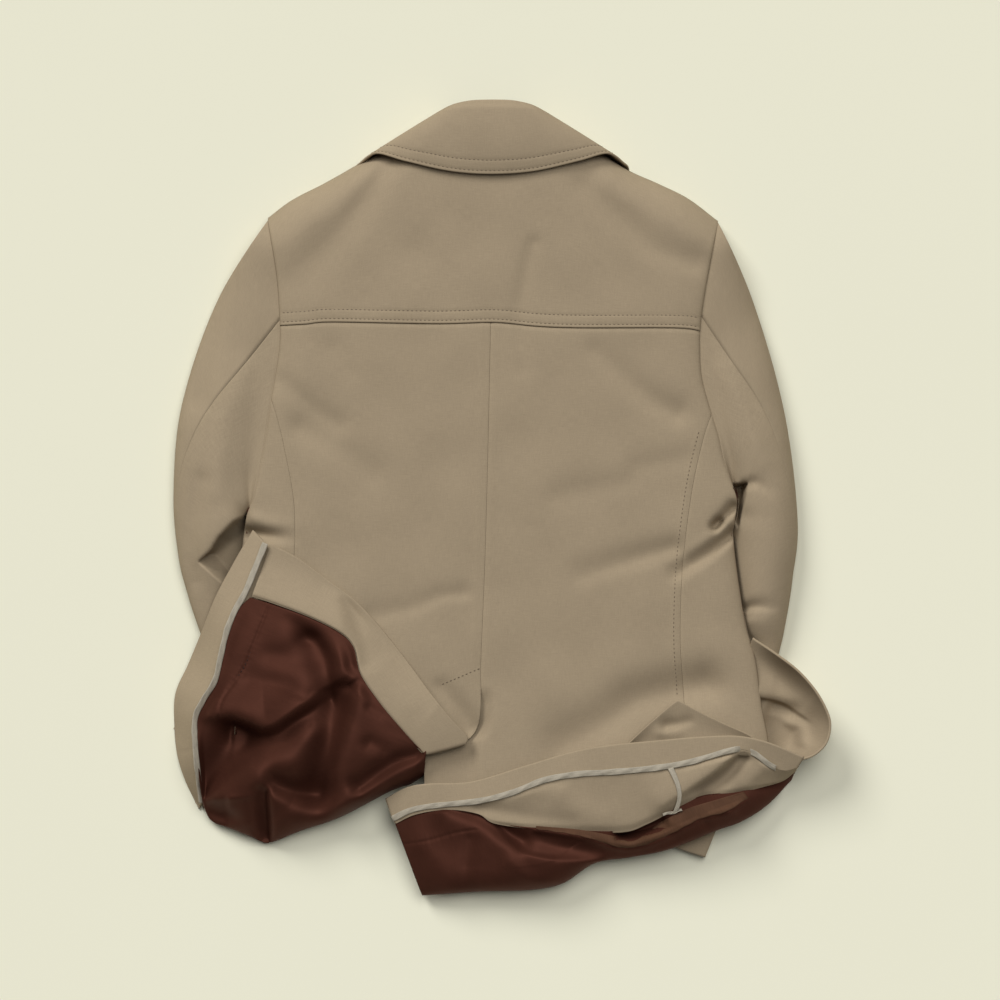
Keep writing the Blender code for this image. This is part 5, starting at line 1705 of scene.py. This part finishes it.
class COAT_OT_stage(bpy.types.Operator):
    """Lay the pale floor and set up the studio light and the camera"""

    bl_idname = "coat.stage"
    bl_label = "Stage"

    def execute(self, context):
        scene = context.scene
        shape = bmesh.new()
        bmesh.ops.create_grid(shape, x_segments=8, y_segments=8, size=FLOOR_HALF)
        mesh = mesh_of(shape, "floor")
        floor = add_object("floor", mesh)
        made = Finish("pale_floor")
        place = made.add("ShaderNodeTexCoord")
        cloud = made.add("ShaderNodeTexNoise", Scale=2.0, Detail=3.0)
        made.link(place.outputs["Object"], cloud.inputs["Vector"])
        made.colour(cloud.outputs["Fac"], scaled(colours().floor, 0.985), scaled(colours().floor, 1.015))
        made.roughness(cloud.outputs["Fac"], 0.85, 0.95)
        made.shader.inputs["Specular IOR Level"].default_value = 0.1
        mesh.materials.append(made.material)

        def soft_light(name, place, spread, strength):
            light = bpy.data.lights.new(name, "SUN")
            light.angle = math.radians(spread)
            light.energy = strength
            lamp = add_object(name, light)
            lamp.location = place
            lamp.rotation_euler = (-Vector(place)).to_track_quat("-Z", "Y").to_euler()
            return lamp

        soft_light("key_light", *KEY_LIGHT).visible_glossy = False
        soft_light("overhead_light", *OVERHEAD_LIGHT)
        world = bpy.data.worlds.new("studio")
        world.use_nodes = True
        ambient = world.node_tree.nodes["Background"]
        ambient.inputs["Color"].default_value = AMBIENT_COLOUR
        ambient.inputs["Strength"].default_value = AMBIENT_STRENGTH
        scene.world = world
        scene.view_settings.view_transform = "Standard"
        lens = bpy.data.cameras.new("camera")
        lens.lens = CAMERA_LENS
        lens.sensor_width = CAMERA_SENSOR
        camera = add_object("camera", lens)
        camera.location = (-MIDDLE[0] * MM, -MIDDLE[1] * MM, CAMERA_HEIGHT)
        scene.camera = camera
        return {"FINISHED"}


class COAT_PT_panel(bpy.types.Panel):
    """Steps of making the coat"""

    bl_idname = "COAT_PT_panel"
    bl_label = "Car Coat"
    bl_space_type = "VIEW_3D"
    bl_region_type = "UI"
    bl_category = "Car Coat"

    def draw(self, context):
        for step in STEPS:
            self.layout.operator(step.bl_idname)
        for group in (context.scene.coat_sizes, context.scene.coat_colours):
            box = self.layout.box()
            for key in group.__annotations__:
                box.prop(group, key)


STEPS = (
    COAT_OT_back, COAT_OT_fronts, COAT_OT_sleeves, COAT_OT_collar, COAT_OT_left_skirt, COAT_OT_right_skirt,
    COAT_OT_right_trim, COAT_OT_stitching, COAT_OT_stage,
)
CLASSES = (CoatSizes, CoatColours, *STEPS, COAT_PT_panel)


def register():
    for item in CLASSES:
        bpy.utils.register_class(item)
    bpy.types.Scene.coat_sizes = PointerProperty(type=CoatSizes)
    bpy.types.Scene.coat_colours = PointerProperty(type=CoatColours)


def unregister():
    del bpy.types.Scene.coat_colours
    del bpy.types.Scene.coat_sizes
    for item in reversed(CLASSES):
        bpy.utils.unregister_class(item)


def main():
    register()
    bpy.ops.coat.back()
    bpy.ops.coat.fronts()
    bpy.ops.coat.sleeves()
    bpy.ops.coat.collar()
    bpy.ops.coat.left_skirt()
    bpy.ops.coat.right_skirt()
    bpy.ops.coat.right_trim()
    bpy.ops.coat.stitching()
    bpy.ops.coat.stage()
    bpy.context.view_layer.update()


if __name__ == "__main__":
    main()
